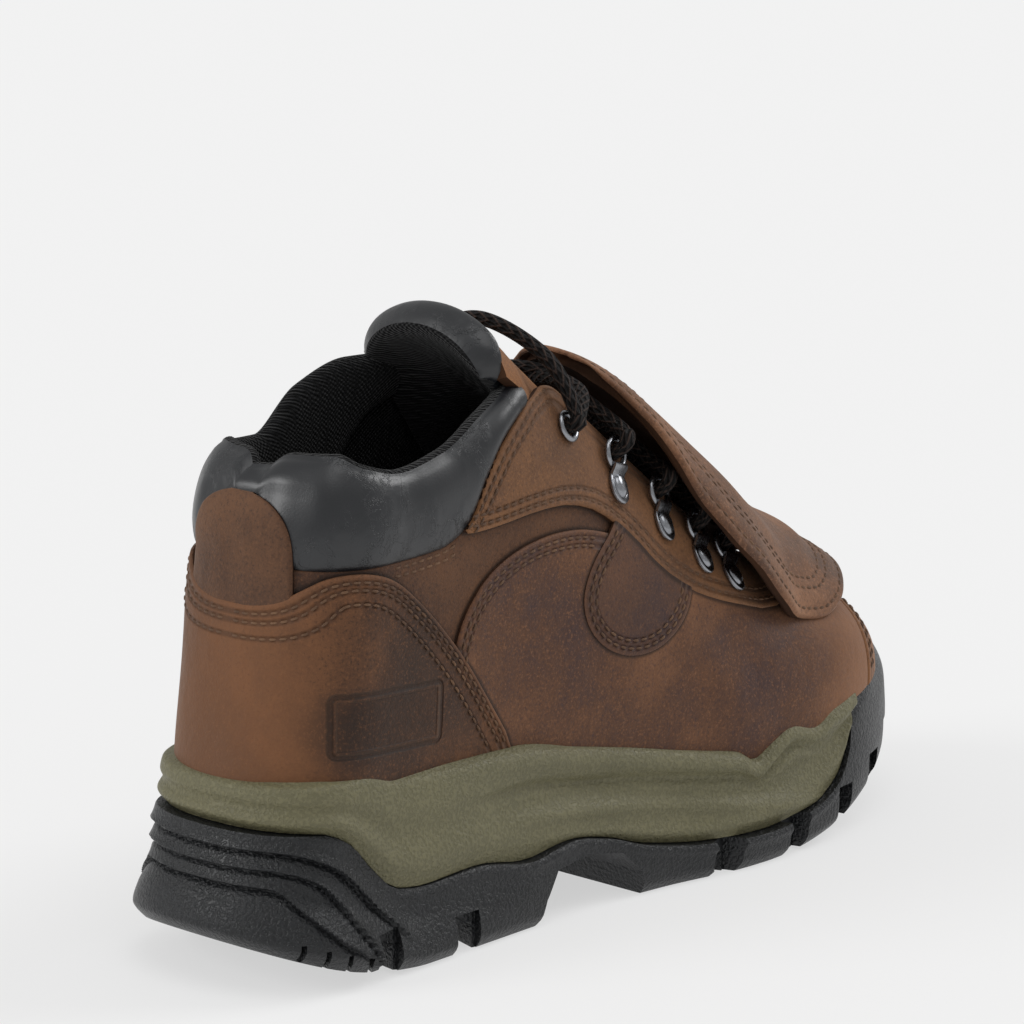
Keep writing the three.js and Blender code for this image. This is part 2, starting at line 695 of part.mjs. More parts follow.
// A quilted sheet over a grid of points: thick to each side of the points along their normals.
function blanket(nu, nv, pointAt, outAt, inAt) {
  const [top, low] = [[], []];
  const clampedAt = (u, v) => pointAt(clamp(u, 0, 1), clamp(v, 0, 1));
  for (let i = 0; i <= nu; i++)
    for (let j = 0; j <= nv; j++) {
      const [u, v] = [i / nu, j / nv];
      const along = clampedAt(u + 0.01, v).sub(clampedAt(u - 0.01, v));
      const across = clampedAt(u, v + 0.01).sub(clampedAt(u, v - 0.01));
      const normal = new THREE.Vector3().crossVectors(along, across).normalize();
      const here = pointAt(u, v);
      top.push(here.clone().addScaledVector(normal, outAt(u, v)));
      low.push(here.clone().addScaledVector(normal, -inAt(u, v)));
    }
  const count = top.length;
  const at = (i, j) => i * (nv + 1) + j;
  const faces = [];
  for (let i = 0; i < nu; i++)
    for (let j = 0; j < nv; j++) {
      const [a, b, c, d] = [at(i, j), at(i + 1, j), at(i + 1, j + 1), at(i, j + 1)];
      faces.push([a, b, c], [a, c, d], [a + count, c + count, b + count], [a + count, d + count, c + count]);
    }
  const border = [];
  for (let i = 0; i < nu; i++) border.push(at(i, 0));
  for (let j = 0; j < nv; j++) border.push(at(nu, j));
  for (let i = nu; i > 0; i--) border.push(at(i, nv));
  for (let j = nv; j > 0; j--) border.push(at(0, j));
  border.forEach((a, k) => {
    const b = border[(k + 1) % border.length];
    faces.push([a, a + count, b + count], [a, b + count, b]);
  });
  return solidFrom([...top, ...low], faces);
}

// The upper's height over a point of its plan: the full arch, with throat and collar closed.
function domeHeight(share, y) {
  const row = (name) => column(UPPER_SECTIONS, name, share);
  const wide = row(y < 0 ? "lateral" : "medial") * BALL_HALF;
  const [widest, top, n] = [row("widest") * BOOT_HEIGHT, row("top") * BOOT_HEIGHT, row("square")];
  return widest + (top - widest) * (1 - clamp(Math.abs(y) / wide, 0, 0.97) ** n) ** (1 / n);
}

// The tongue lies under the arch of the instep; rows from its top to its foot under the vamp.
const TONGUE_DEEP = WALL + GAP + 0.6;
const TONGUE_TOP = 0.34;
const TONGUE_FOOT = 0.66;
const TONGUE_DROP = 25; // how far the free end's sides hang below its crest
function tonguePoint(from, half) {
  return (u, v) => {
    const share = from + (TONGUE_FOOT - from) * u;
    const across = 2 * v - 1;
    const y = across * half * (1 - 0.22 * u);
    const round = domeHeight(share, 0) - TONGUE_DROP * (1 - Math.sqrt(1 - 0.94 * across * across));
    const low = clamp((share - 0.38) / 0.05, 0, 1);
    return new THREE.Vector3(share * LENGTH, y, round * (1 - low) + domeHeight(share, y) * low);
  };
}

function tongueLeather(grow) {
  return blanket(
    10,
    6,
    tonguePoint(TONGUE_TOP + 0.034 - grow / LENGTH, TONGUE_HALF - 3 + grow),
    () => -TONGUE_DEEP + grow,
    () => TONGUE_DEEP + TONGUE_THICK + grow,
  );
}
function tongue() {
  return tongueLeather(0)
    .subtract(collar(GAP))
    .subtract(wallRoom());
}

// The room of the upper's leather, grown by the clearance.
function wallRoom() {
  return upperForm(2 * GAP)
    .subtract(upperForm(-WALL - 2 * GAP, 20))
    .subtract(collarRoom(2 * GAP))
    .subtract(throat(THROAT_HALF - GAP));
}

// The padding behind the tongue: a black rim rolled over the leather's top and sides, and the lining.
function tonguePad() {
  const seat = TONGUE_DEEP + TONGUE_THICK + 4 * GAP;
  const middle = seat + TONGUE_PAD / 2;
  const roll = (v) => Math.sqrt(1 - (1 - clamp((1 - Math.abs(2 * v - 1)) / 0.3, 0, 1)) ** 2);
  const end = (u) => Math.sqrt(1 - (1 - clamp(u / 0.05, 0, 1)) ** 2);
  const rimTop = (u) => (u < 0.075 ? seat - 0.5 : 0);
  return blanket(
    14,
    6,
    tonguePoint(TONGUE_TOP, TONGUE_HALF),
    (u, v) => -middle + (TONGUE_PAD / 2 + rimTop(u)) * end(u) * (0.25 + 0.75 * roll(v)),
    (u, v) => middle + (TONGUE_PAD / 2) * end(u) * (0.25 + 0.75 * roll(v)),
  )
    .subtract(collar(GAP))
    .subtract(tongueLeather(GAP))
    .subtract(wallRoom());
}

// The guard: half width, and heights of its edge and its crest, from its top end to its front end at the toe.
const GUARD_SECTIONS = [
  { x: 0.503, half: 0.25, edge: 161, crest: 164 },
  { x: 0.508, half: 0.42, edge: 159, crest: 163.5 },
  { x: 0.517, half: 0.56, edge: 154, crest: 162.5 },
  { x: 0.53, half: 0.7, edge: 147.5, crest: 160.5 },
  { x: 0.547, half: 0.82, edge: 140, crest: 157 },
  { x: 0.566, half: 0.92, edge: 130, crest: 152.5 },
  { x: 0.59, half: 1.02, edge: 116, crest: 146 },
  { x: 0.62, half: 1.13, edge: 104.5, crest: 137.5 },
  { x: 0.66, half: 1.18, edge: 93, crest: 127.5 },
  { x: 0.7, half: 1.16, edge: 81, crest: 118 },
  { x: 0.742, half: 1.08, edge: 72.5, crest: 109 },
  { x: 0.783, half: 1.07, edge: 70.5, crest: 101 },
  { x: 0.818, half: 1.02, edge: 73, crest: 96 },
  { x: 0.845, half: 0.9, edge: 77.5, crest: 91.5 },
  { x: 0.866, half: 0.7, edge: 81, crest: 87.5 },
  { x: 0.877, half: 0.42, edge: 82.5, crest: 85 },
];
function guardPoint(u, v) {
  const at = u * (GUARD_SECTIONS.length - 1);
  const i = Math.min(Math.floor(at), GUARD_SECTIONS.length - 2);
  const mix = (name) => GUARD_SECTIONS[i][name] * (1 - at + i) + GUARD_SECTIONS[i + 1][name] * (at - i);
  const across = 2 * v - 1;
  return new THREE.Vector3(
    mix("x") * LENGTH,
    swing(mix("x")) + across * mix("half") * GUARD_HALF,
    mix("edge") + (mix("crest") - mix("edge")) * (1 - across * across) ** 0.67,
  );
}
const GUARD_FILL = 5; // how much thicker the guard is where it is sewn down at the toe
function guard() {
  const inward = (v) => clamp((1 - Math.abs(2 * v - 1)) / 0.4, 0, 1);
  const front = (u) => clamp((u - 0.86) / 0.08, 0, 1);
  return blanket(
    GUARD_SECTIONS.length - 1,
    8,
    guardPoint,
    () => 0,
    (u, v) => GUARD_EDGE + (GUARD_THICK - GUARD_EDGE + GUARD_FILL * front(u)) * inward(v),
  ).subtract(upperForm(2 * GAP + CAP));
}

// Places of the lace's fittings on the eyestay, from the top: an eyelet, then D-rings.
const FITTINGS = [
  { at: 0.4295, z: 145 },
  { at: 0.497, z: 128 },
  { at: 0.561, z: 113 },
  { at: 0.612, z: 100 },
  { at: 0.656, z: 91.5 },
];
const SIDES = [-1, 1];

// A frame at a height off the upper's outside: X along the throat's edge, Y up towards it, Z outward.
function fittingFrame(place, side, out) {
  const origin = skinOut(place.at, place.z, side, out);
  const normal = skinOut(place.at, place.z, side, out + 1).sub(origin);
  const up = skin(place.at, place.z + 1, side).sub(skin(place.at, place.z - 1, side));
  up.add(new THREE.Vector3(0.5, 0, 0.2)).projectOnPlane(normal).normalize();
  const along = new THREE.Vector3().crossVectors(up, normal);
  return new THREE.Matrix4().makeBasis(along, up, normal).setPosition(origin);
}

const placed = (geometry, frame) => solidOf(geometry.applyMatrix4(frame));
const SURFACE = GAP + EYESTAY; // the eyestay's outside, off the upper's

function eyeletHole(side) {
  const radius = EYELET_IN + 1 + GAP;
  const hole = new THREE.CylinderGeometry(radius, radius, 20, 12).rotateX(Math.PI / 2);
  return placed(hole, fittingFrame(FITTINGS[0], side, 0));
}

function eyelet(side) {
  const profile = [
    [EYELET_IN + 0.9, -SURFACE - 0.6],
    [EYELET_IN + 0.9, 0.8],
    [EYELET_OUT, 0.8],
    [EYELET_OUT, 1.2],
    [EYELET_OUT - 0.8, 1.7],
    [EYELET_IN + 0.5, 1.6],
    [EYELET_IN, 0.6],
    [EYELET_IN, -SURFACE - 0.6],
    [EYELET_IN + 0.9, -SURFACE - 0.6],
  ].map(([r, y]) => new THREE.Vector2(r, y));
  const ring = new THREE.LatheGeometry(profile, 12).rotateX(Math.PI / 2);
  return placed(ring, fittingFrame(FITTINGS[0], side, SURFACE));
}

// A D-ring, its clip, and the rivet that holds them, joined in one body.
const RING_UP = 5.2; // ring's centre, from the middle of the fitting towards the throat
const RING_OUT = 2.2; // and out from the eyestay
const RING_TILT = 0.24;
function dRing(place, side) {
  const frame = fittingFrame(place, side, SURFACE);
  const ring = new THREE.TorusGeometry(RING_R - RING_WIRE, RING_WIRE, 4, 10);
  ring.scale(1.08, 0.95, 1).rotateX(RING_TILT).translate(0, RING_UP, RING_OUT);
  const clip = new THREE.BoxGeometry(5.4, 5.6, 0.9).rotateX(0.3).translate(0, -0.1, 1.6);
  const profile = [[0, 0], [RIVET_R + 1.1, 0], [RIVET_R + 1, 0.9], [RIVET_R * 0.6, 2], [0, 2.3]];
  const foot = new THREE.LatheGeometry(profile.map(([r, y]) => new THREE.Vector2(r, y)), 8);
  foot.rotateX(Math.PI / 2).scale(1, 1.2, 1).translate(0, -4.6, 1.5 * GAP);
  return [ring, foot, clip]
    .map((part) => placed(part, frame))
    .reduce((all, part) => all.add(part));
}

// Laces: a dip into every fitting, crossings between neighbours, a bar at the foot and one over the tongue.
function strand(points, steps) {
  const round = new THREE.Shape();
  const sides = 5;
  for (let i = 0; i < sides; i++) {
    const turn = (2 * Math.PI * i) / sides;
    const [x, y] = [(LACE / 2) * Math.cos(turn), (LACE / 2) * Math.sin(turn)];
    if (i === 0) round.moveTo(x, y);
    else round.lineTo(x, y);
  }
  round.closePath();
  const path = new THREE.CatmullRomCurve3(points, false, "centripetal");
  return solidOf(new THREE.ExtrudeGeometry(round, { steps, extrudePath: path, bevelEnabled: false }));
}

function laceAt(place, side, up, out) {
  return new THREE.Vector3(0, up, out).applyMatrix4(fittingFrame(place, side, SURFACE));
}
// A point off the upper's full arch, by its plan position.
function overDome(x, y, out) {
  const at = (dx, dy) => domeHeight((x + dx) / LENGTH, y + dy - swing(x / LENGTH));
  const normal = new THREE.Vector3(at(-1, 0) - at(1, 0), at(0, -1) - at(0, 1), 2).normalize();
  return new THREE.Vector3(x, y, at(0, 0)).addScaledVector(normal, out);
}

const LACE_OVER = 7.3; // the lace's middle over a ring's wire, off the eyestay
// Where the lace goes down into a fitting: towards the throat and out from the eyestay.
const EYELET_DIP = [[0, 2.6], [0, -SURFACE + 0.4]];
const RING_DIP = [[RING_UP + 1.2, 5.7], [RING_UP + 0.2, GAP * 2]];
function lace() {
  const rise = (i, side) =>
    i === 0 ? laceAt(FITTINGS[0], side, 1.4, 4.6) : laceAt(FITTINGS[i], side, RING_UP + 4, LACE_OVER);
  const crossing = (a, b, shift, lift) => {
    const points = [a];
    for (const [share, out] of [[0.22, 6.5], [0.5, lift], [0.78, 6.5]]) {
      const [x, y] = [a.x + (b.x - a.x) * share, a.y + (b.y - a.y) * share];
      points.push(overDome(x + shift * Math.sin(Math.PI * share), y, out));
    }
    return strand([...points, b], 6);
  };
  const parts = [];
  for (let i = 0; i < FITTINGS.length; i++)
    for (const side of SIDES) {
      const low = i === 0 ? EYELET_DIP : RING_DIP;
      const dip = low.map(([up, out]) => laceAt(FITTINGS[i], side, up, out));
      parts.push(strand([rise(i, side), ...dip], 2));
    }
  for (let i = 0; i + 1 < FITTINGS.length; i++)
    for (const side of SIDES)
      parts.push(crossing(rise(i + 1, side), rise(i, -side), 5, 3.8 - 0.8 * side));
  const last = FITTINGS.length - 1;
  parts.push(crossing(rise(last, -1), rise(last, 1), -4, 7));
  parts.push(crossing(rise(0, -1), rise(0, 1), -15, 3));
  return parts.reduce((all, part) => all.add(part));
}

// The leather tab that runs up the back of the heel and over the collar.
const TAB_HALF = 20;
const TAB_LOW = 105;
const TAB_HIGH = 139;
function tabSheath(out) {
  const rings = [];
  for (let k = 0; k <= 5; k++) {
    const z = TAB_LOW - 3 + ((TAB_HIGH + 6 - TAB_LOW) * k) / 5;
    const up = clamp((z - COLLAR_LOW[0].z) / (COLLAR_BACK - COLLAR_LOW[0].z), 0, 1);
    const bulge = z < COLLAR_LOW[0].z ? 0 : COLLAR_OUT * Math.min(1, up / 0.15);
    const ring = [];
    for (let i = 7; i >= -7; i--) {
      const side = i < 0 ? -1 : 1;
      const share = UPPER_BACK / LENGTH + 0.0008 + 0.2 * (1 - Math.cos((Math.abs(i) / 7) * (Math.PI / 2)));
      ring.push(skinOut(share, z, side, bulge + out));
    }
    rings.push(ring);
  }
  return loft(rings);
}
function heelTab() {
  const outline = new THREE.Shape();
  const corner = TAB_HALF * 0.8;
  outline.moveTo(-TAB_HALF, TAB_LOW);
  outline.lineTo(TAB_HALF, TAB_LOW);
  outline.lineTo(TAB_HALF - 2, TAB_HIGH - corner);
  outline.quadraticCurveTo(TAB_HALF - 4, TAB_HIGH, TAB_HALF - 4 - corner, TAB_HIGH);
  outline.lineTo(-TAB_HALF + 4 + corner, TAB_HIGH);
  outline.quadraticCurveTo(-TAB_HALF + 4, TAB_HIGH, -TAB_HALF + 2, TAB_HIGH - corner);
  outline.closePath();
  const front = new THREE.ExtrudeGeometry(outline, { depth: 70, bevelEnabled: false, curveSegments: 5 });
  front.rotateX(Math.PI / 2).rotateZ(Math.PI / 2).translate(-10, 0, 0);
  return tabSheath(2 * GAP + PANEL)
    .subtract(tabSheath(GAP))
    .intersect(solidOf(front))
    .subtract(collar(GAP))
    .subtract(counterRegion(GAP / LENGTH));
}

const CAP = 1.9; // leather of the toe cap

const FINE = 0.12; // facets finer than this are merged
const FINE_LACE = 0.25; // and the same for the laces
const FINE_SMALL = 0.03; // and for small fittings

const pieces = [];
const MATERIALS = {
  leather: { color: 0x5d3b22, roughness: 0.75, metalness: 0 },
  darkLeather: { color: 0x4a2f1f, roughness: 0.75, metalness: 0 },
  collarBlack: { color: 0x1b1d22, roughness: 0.42, metalness: 0 },
  lining: { color: 0x0e0e0f, roughness: 0.95, metalness: 0 },
  foam: { color: 0x6f7052, roughness: 0.8, metalness: 0 },
  rubber: { color: 0x1d1e20, roughness: 0.6, metalness: 0 },
  lace: { color: 0x15110f, roughness: 0.8, metalness: 0 },
  metal: { color: 0x4b4d50, roughness: 0.3, metalness: 0.9 },
};

function add(name, body, finish, fineness = FINE) {
  const made = body.asOriginal().simplify(fineness).getMesh();
  const position = new Float32Array(made.numVert * 3);
  for (let i = 0; i < made.numVert; i++)
    for (let k = 0; k < 3; k++) position[3 * i + k] = made.vertProperties[made.numProp * i + k];
  const geometry = new THREE.BufferGeometry();
  geometry.setAttribute("position", new THREE.BufferAttribute(position, 3));
  geometry.setIndex(new THREE.BufferAttribute(new Uint32Array(made.triVerts), 1));
  geometry.computeVertexNormals();
  const mesh = new THREE.Mesh(geometry, new THREE.MeshStandardMaterial(MATERIALS[finish]));
  mesh.name = name;
  pieces.push(mesh);
}

const panels = sheet(PANEL).subtract(throat(THROAT_HALF));
const counterPanel = panels.intersect(counterRegion(0)).subtract(eyestayRegion(0.001));
const front = vampFront();
const vampPanel = panels
  .intersect(front)
  .subtract(counterRegion(0.001))
  .subtract(eyestayRegion(0.001))
  .subtract(toeCapRegion(0.001));
const eyestays = sheet(EYESTAY).subtract(throat(THROAT_HALF)).intersect(eyestayRegion(0));

add("outsole", outsole(), "rubber");
add("midsole", midsole(), "foam");
add("insole", insole(), "lining");
add("upper", upper(), "leather");
add("vamp", vampPanel, "leather");
add("toe_cap", sheet(CAP).intersect(toeCapRegion(0)), "leather");
add("heel_counter", counterPanel, "leather");
for (const [name, side] of [["lateral", -1], ["medial", 1]]) {
  add(`eyestay_${name}`, oneSide(eyestays, side).subtract(eyeletHole(side)), "darkLeather");
  add(`side_patch_${name}`, oneSide(patch(), side), "darkLeather");
}
add("collar", collar(0), "collarBlack");
add("heel_tab", heelTab(), "darkLeather");
add("tongue", tongue(), "leather", FINE_SMALL);
add("tongue_pad", tonguePad(), "collarBlack");
add("met_guard", guard(), "darkLeather");
add("lace", lace(), "lace", FINE_LACE);
for (const [name, side] of [["lateral", -1], ["medial", 1]]) {
  add(`eyelet_${name}`, eyelet(side), "metal");
  FITTINGS.slice(1).forEach((place, i) => add(`d_ring_${name}_${i + 1}`, dRing(place, side), "metal"));
}

// The origin is the middle of the boot's box, on the ground.
const shoe = new THREE.Group();
shoe.add(...pieces);
const box = new THREE.Box3().setFromObject(shoe);
shoe.position.set(-(box.min.x + box.max.x) / 2, -(box.min.y + box.max.y) / 2, -box.min.z);
const boot = new THREE.Group();
boot.add(shoe);
export default boot;
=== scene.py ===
"""Looks for a metatarsal guard boot over its fixed frame.

The boot's forms are worked out from the same named sizes and tables as its solids: leather panels cut from
one skin, a padded collar, tongue and guard, a waved midsole, a lugged outsole, laces and metal fittings.
Lengths are millimetres in the boot's own axes (x from the heel, -y the outer side, z up) until a mesh is
made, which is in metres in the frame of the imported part.
"""

import logging
import math
from collections.abc import Callable
from dataclasses import dataclass, field
from enum import Enum

import bpy
import numpy as np
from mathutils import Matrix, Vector


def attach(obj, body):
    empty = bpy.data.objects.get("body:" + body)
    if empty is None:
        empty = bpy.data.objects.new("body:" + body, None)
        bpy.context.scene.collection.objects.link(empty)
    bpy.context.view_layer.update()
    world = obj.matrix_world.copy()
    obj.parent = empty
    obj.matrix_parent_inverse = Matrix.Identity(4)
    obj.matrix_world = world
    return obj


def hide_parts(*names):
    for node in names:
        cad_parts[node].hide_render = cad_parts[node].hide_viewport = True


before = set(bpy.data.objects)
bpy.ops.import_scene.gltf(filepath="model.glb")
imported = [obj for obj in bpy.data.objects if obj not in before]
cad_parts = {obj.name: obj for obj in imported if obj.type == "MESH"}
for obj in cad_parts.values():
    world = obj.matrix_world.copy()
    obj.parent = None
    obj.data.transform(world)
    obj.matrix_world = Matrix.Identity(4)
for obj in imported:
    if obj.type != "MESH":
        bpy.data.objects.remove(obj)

log = logging.getLogger("guard_boot")

MM = 0.001
BODY = "root"

LENGTH = 305.0  # outsole, heel to toe
BALL_HALF = 55.0  # half the outsole's width at the ball
HEEL_HALF = 42.5  # and at the heel
BOOT_HEIGHT = 182.0
COLLAR_BACK = 151.0  # ground to the collar's top at the heel
RIM_HEEL = 60.0  # ground to the midsole's rim at the heel
RIM_BALL = 33.0  # and at its lowest, by the ball
TOE_TOP = 77.0
TOE_SPRING = 27.0
LUG_DEPTH = 8.0
WALL = 2.2
PANEL = 1.5
EYESTAY = 2.1
CAP = 1.9
GAP = 0.3
COLLAR_THICK = 11.0
COLLAR_OUT = 3.0
TONGUE_THICK = 3.0
TONGUE_PAD = 5.5
TONGUE_HALF = 32.0
THROAT_HALF = 19.0
GUARD_HALF = 43.0
GUARD_THICK = 4.4
LACE = 4.4
EYELET_OUT = 5.0
EYELET_IN = 2.9
RING_R = 5.6
RING_WIRE = 0.95
RIVET_R = 3.4
UPPER_BACK = 13.0
UPPER_FRONT = 13.0
BACK_LEAN = 11.0
COLLAR_LEAN = 12.0
SURFACE = GAP + EYESTAY

SEAM_ROWS = (2.2, 4.6)  # rows of stitches, from a panel's edge inward
EYESTAY_ROWS = (2.2, 5.0)
COUNTER_ROWS = (2.2, 4.4, 8.4)
GUARD_ROWS = (3.2, 9.8, 13.2)

SIDES = (-1, 1)
ORIGIN = np.array([LENGTH / 2, 0.354, 0.0])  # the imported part's origin in the boot's own axes


class Slot(Enum):
    """Material slots of the record."""

    LEATHER = "brown_leather"
    COLLAR = "collar_black"
    KNIT = "lining_knit"
    FOAM = "midsole_foam"
    RUBBER = "sole_rubber"
    LACE = "lace_cord"
    METAL = "gunmetal"


# Forms of the boot


class Table:
    """Rows of named columns along the boot, read on a smooth curve that never overshoots."""

    def __init__(self, names: str, *rows: tuple[float, ...]) -> None:
        """Keep the rows.

        Args:
            names: Names of the columns after the first, which is the place along the boot.
            rows: One tuple for each place.
        """
        data = np.array(rows, float)
        self.at = data[:, 0]
        self.columns = {name: data[:, k + 1] for k, name in enumerate(names.split())}

    def read(self, name: str, at: np.ndarray | float) -> np.ndarray:
        """Read one column.

        Args:
            name: The column.
            at: Places along the boot.

        Returns:
            The column's values at those places.
        """
        y = self.columns[name]
        place = np.clip(np.asarray(at, float), self.at[0], self.at[-1])
        rise = np.diff(y) / np.diff(self.at)
        slope = np.empty_like(y)
        slope[0], slope[-1] = rise[0], rise[-1]
        a, b = rise[:-1], rise[1:]
        same = a * b > 0
        slope[1:-1] = np.where(same, 2 * a * b / np.where(same, a + b, 1.0), 0.0)
        i = np.clip(np.searchsorted(self.at, place, side="right") - 1, 0, len(self.at) - 2)
        span = self.at[i + 1] - self.at[i]
        t = (place - self.at[i]) / span
        t2, t3 = t * t, t * t * t
        return (
            (2 * t3 - 3 * t2 + 1) * y[i]
            + (t3 - 2 * t2 + t) * span * slope[i]
            + (3 * t2 - 2 * t3) * y[i + 1]
            + (t3 - t2) * span * slope[i + 1]
        )

    def sided(self, side: np.ndarray, at: np.ndarray) -> np.ndarray:
        """Read the lateral column where side is below 0 and the medial one elsewhere."""
        return np.where(side < 0, self.read("lateral", at), self.read("medial", at))


def smoothstep(low: float, high: float, x: np.ndarray) -> np.ndarray:
    """Return a soft ramp from 0 at low to 1 at high."""
    t = np.clip((x - low) / (high - low), 0, 1)
    return t * t * (3 - 2 * t)


def round_end(inward: np.ndarray, reach: np.ndarray | float, power: float) -> np.ndarray:
    """Return the round end of an outline: 0 at its tip and 1 from reach on."""
    return (1 - (1 - np.clip(inward / reach, 0, 1)) ** power) ** (1 / power)


def unit(v: np.ndarray) -> np.ndarray:
    """Return vectors at length 1."""
    return v / np.maximum(np.linalg.norm(v, axis=-1, keepdims=True), 1e-9)


def catmull(points: np.ndarray, count: int, closed: bool = False) -> np.ndarray:
    """Run a smooth curve through points.

    Args:
        points: The points, as rows.
        count: Points to return.
        closed: Whether the curve closes on itself.

    Returns:
        Points along the curve, evenly spaced by length.
    """
    p = np.asarray(points, float)
    if closed:
        ring = np.vstack([p[-1], p, p[0], p[1]])
    else:
        ring = np.vstack([2 * p[0] - p[1], p, 2 * p[-1] - p[-2]])
    fine = []
    t = np.linspace(0, 1, 24, endpoint=False)[:, None]
    for k in range(len(ring) - 3):
        a, b, c, d = ring[k : k + 4]
        square, cube = 2 * a - 5 * b + 4 * c - d, 3 * b - a - 3 * c + d
        fine.append(0.5 * (2 * b + (c - a) * t + square * t**2 + cube * t**3))
    line = np.vstack([*fine, ring[-2][None]])
    return resample(line, count)


def resample(line: np.ndarray, count: int) -> np.ndarray:
    """Return count points evenly spaced by length along a line."""
    length = np.concatenate([[0], np.cumsum(np.linalg.norm(np.diff(line, axis=0), axis=1))])
    at = np.linspace(0, length[-1], count)
    return np.stack([np.interp(at, length, line[:, k]) for k in range(line.shape[1])], axis=1)


@dataclass(frozen=True)
class BootForm:
    """The upper's outside and the sole's outline as functions of place, height and side."""

    sections: Table = field(
        default_factory=lambda: Table(
            "lateral medial under widest top square",
            (0.0, 0.6, 0.58, 0.25, 0.39, 1.18, 4.0),
            (0.16, 0.6, 0.575, 0.24, 0.4, 1.18, 4.0),
            (0.3, 0.61, 0.585, 0.22, 0.41, 1.065, 3.4),
            (0.425, 0.67, 0.63, 0.19, 0.4, 0.925, 2.4),
            (0.5, 0.725, 0.68, 0.165, 0.375, 0.824, 2.05),
            (0.565, 0.785, 0.735, 0.15, 0.335, 0.736, 1.87),
            (0.62, 0.84, 0.8, 0.14, 0.3, 0.654, 1.82),
            (0.675, 0.89, 0.87, 0.135, 0.27, 0.575, 1.85),
            (0.755, 0.925, 0.925, 0.135, 0.25, 0.482, 2.2),
            (0.84, 0.92, 0.92, 0.145, 0.25, TOE_TOP / BOOT_HEIGHT, 2.6),
            (0.9, 0.91, 0.89, 0.155, 0.25, 0.365, 2.5),
            (0.935, 0.9, 0.87, 0.165, 0.24, 0.295, 2.4),
            (0.9575, 0.9, 0.87, 0.17, 0.22, 0.25, 2.4),
        )
    )
    plan: Table = field(
        default_factory=lambda: Table(
            "lateral medial",
            (0.0, HEEL_HALF / BALL_HALF, (HEEL_HALF - 2) / BALL_HALF),
            (0.2, HEEL_HALF / BALL_HALF, (HEEL_HALF - 2) / BALL_HALF),
            (0.4, 0.77, 0.73),
            (0.52, 0.84, 0.79),
            (0.64, 0.97, 0.92),
            (0.73, 1.0, 0.98),
            (0.85, 0.98, 0.97),
            (1.0, 0.94, 0.94),
        )
    )
    rim_line: Table = field(
        default_factory=lambda: Table(
            "z",
            (0.0, RIM_HEEL),
            (0.13, RIM_HEEL),
            (0.17, RIM_HEEL - 3.5),
            (0.24, RIM_HEEL - 4),
            (0.34, RIM_HEEL - 5),
            (0.41, RIM_HEEL - 9),
            (0.49, RIM_HEEL - 14),
            (0.59, RIM_BALL + 6),
            (0.628, RIM_BALL + 3.5),
            (0.65, RIM_BALL),
            (0.67, RIM_BALL + 3.5),
            (0.705, RIM_BALL + 8.5),
            (0.74, RIM_BALL + 6),
            (0.772, RIM_BALL + 10.5),
            (0.83, RIM_BALL + 13),
            (1.0, RIM_BALL + 19),
        )
    )
    parting_line: Table = field(
        default_factory=lambda: Table(
            "z",
            (0.0, 47),
            (0.08, 45.5),
            (0.11, 41),
            (0.135, 32.5),
            (0.165, 24.5),
            (0.2, 23),
            (0.27, 24),
            (0.34, 21),
            (0.4, 23),
            (0.45, 20.5),
            (0.5, 15.5),
            (0.58, 11.5),
            (0.66, 10.5),
            (0.73, 13.5),
            (0.77, 18),
            (0.795, 26),
            (0.81, 40),
            (0.822, 60),
        )
    )

    def swing(self, share: np.ndarray) -> np.ndarray:
        """Return how far the toe has swung inward at places along the boot."""
        return 5.0 * np.clip((np.asarray(share) - 0.6) / 0.4, 0, 1) ** 1.6

    def tread(self, share: np.ndarray) -> np.ndarray:
        """Return the height of the tread's underside."""
        heel = 15.0 * np.clip(1 - share / 0.2, 0, 1) ** 1.6
        return heel + TOE_SPRING * np.clip((share - 0.66) / 0.34, 0, 1) ** 1.75

    def lean(self, share: np.ndarray, z: np.ndarray) -> np.ndarray:
        """Return how far a point leans forward from its station."""
        up = np.clip((z - RIM_HEEL + 5) / (COLLAR_BACK - RIM_HEEL - 15), 0, 1)
        roll = np.clip((z - COLLAR_BACK + 33) / 33, 0, 1.2)
        fade = np.clip(1 - (share * LENGTH - UPPER_BACK) / 62, 0, 1)
        return (BACK_LEAN * np.sin(up * math.pi / 2) + COLLAR_LEAN * roll * roll) * fade * fade

    def row(self, name: str, share: np.ndarray) -> np.ndarray:
        """Return a height of the upper's sections, in millimetres."""
        return self.sections.read(name, share) * BOOT_HEIGHT

    def half(self, share: np.ndarray, z: np.ndarray, side: np.ndarray) -> np.ndarray:
        """Return the upper's half width on one side, at places and heights."""
        x = share * LENGTH
        reach = 0.105 * LENGTH * (1 + 0.55 * np.clip((z - 105) / 40, 0, 1))
        ends = round_end(x - UPPER_BACK, reach, 2.15) * round_end(LENGTH - UPPER_FRONT - x, 0.2 * LENGTH, 2.2)
        wide = self.sections.sided(side, share) * BALL_HALF * ends
        under, widest, top = self.row("under", share), self.row("widest", share), self.row("top", share)
        low = np.clip((z - under) / (widest - under), 0, 1)
        n = self.sections.read("square", share)
        high = (1 - np.clip((z - widest) / (top - widest), 0, 1) ** n) ** (1 / n)
        return wide * np.where(z < widest, 0.93 + 0.07 * np.sin(low * math.pi / 2), high)

    def skin(self, share: np.ndarray, z: np.ndarray, side: np.ndarray) -> np.ndarray:
        """Return points on the upper's outside."""
        share, z, side = np.broadcast_arrays(*(np.asarray(v, float) for v in (share, z, side)))
        y = self.swing(share) + side * self.half(share, z, side)
        return np.stack([share * LENGTH + self.lean(share, z), y, z], axis=-1)

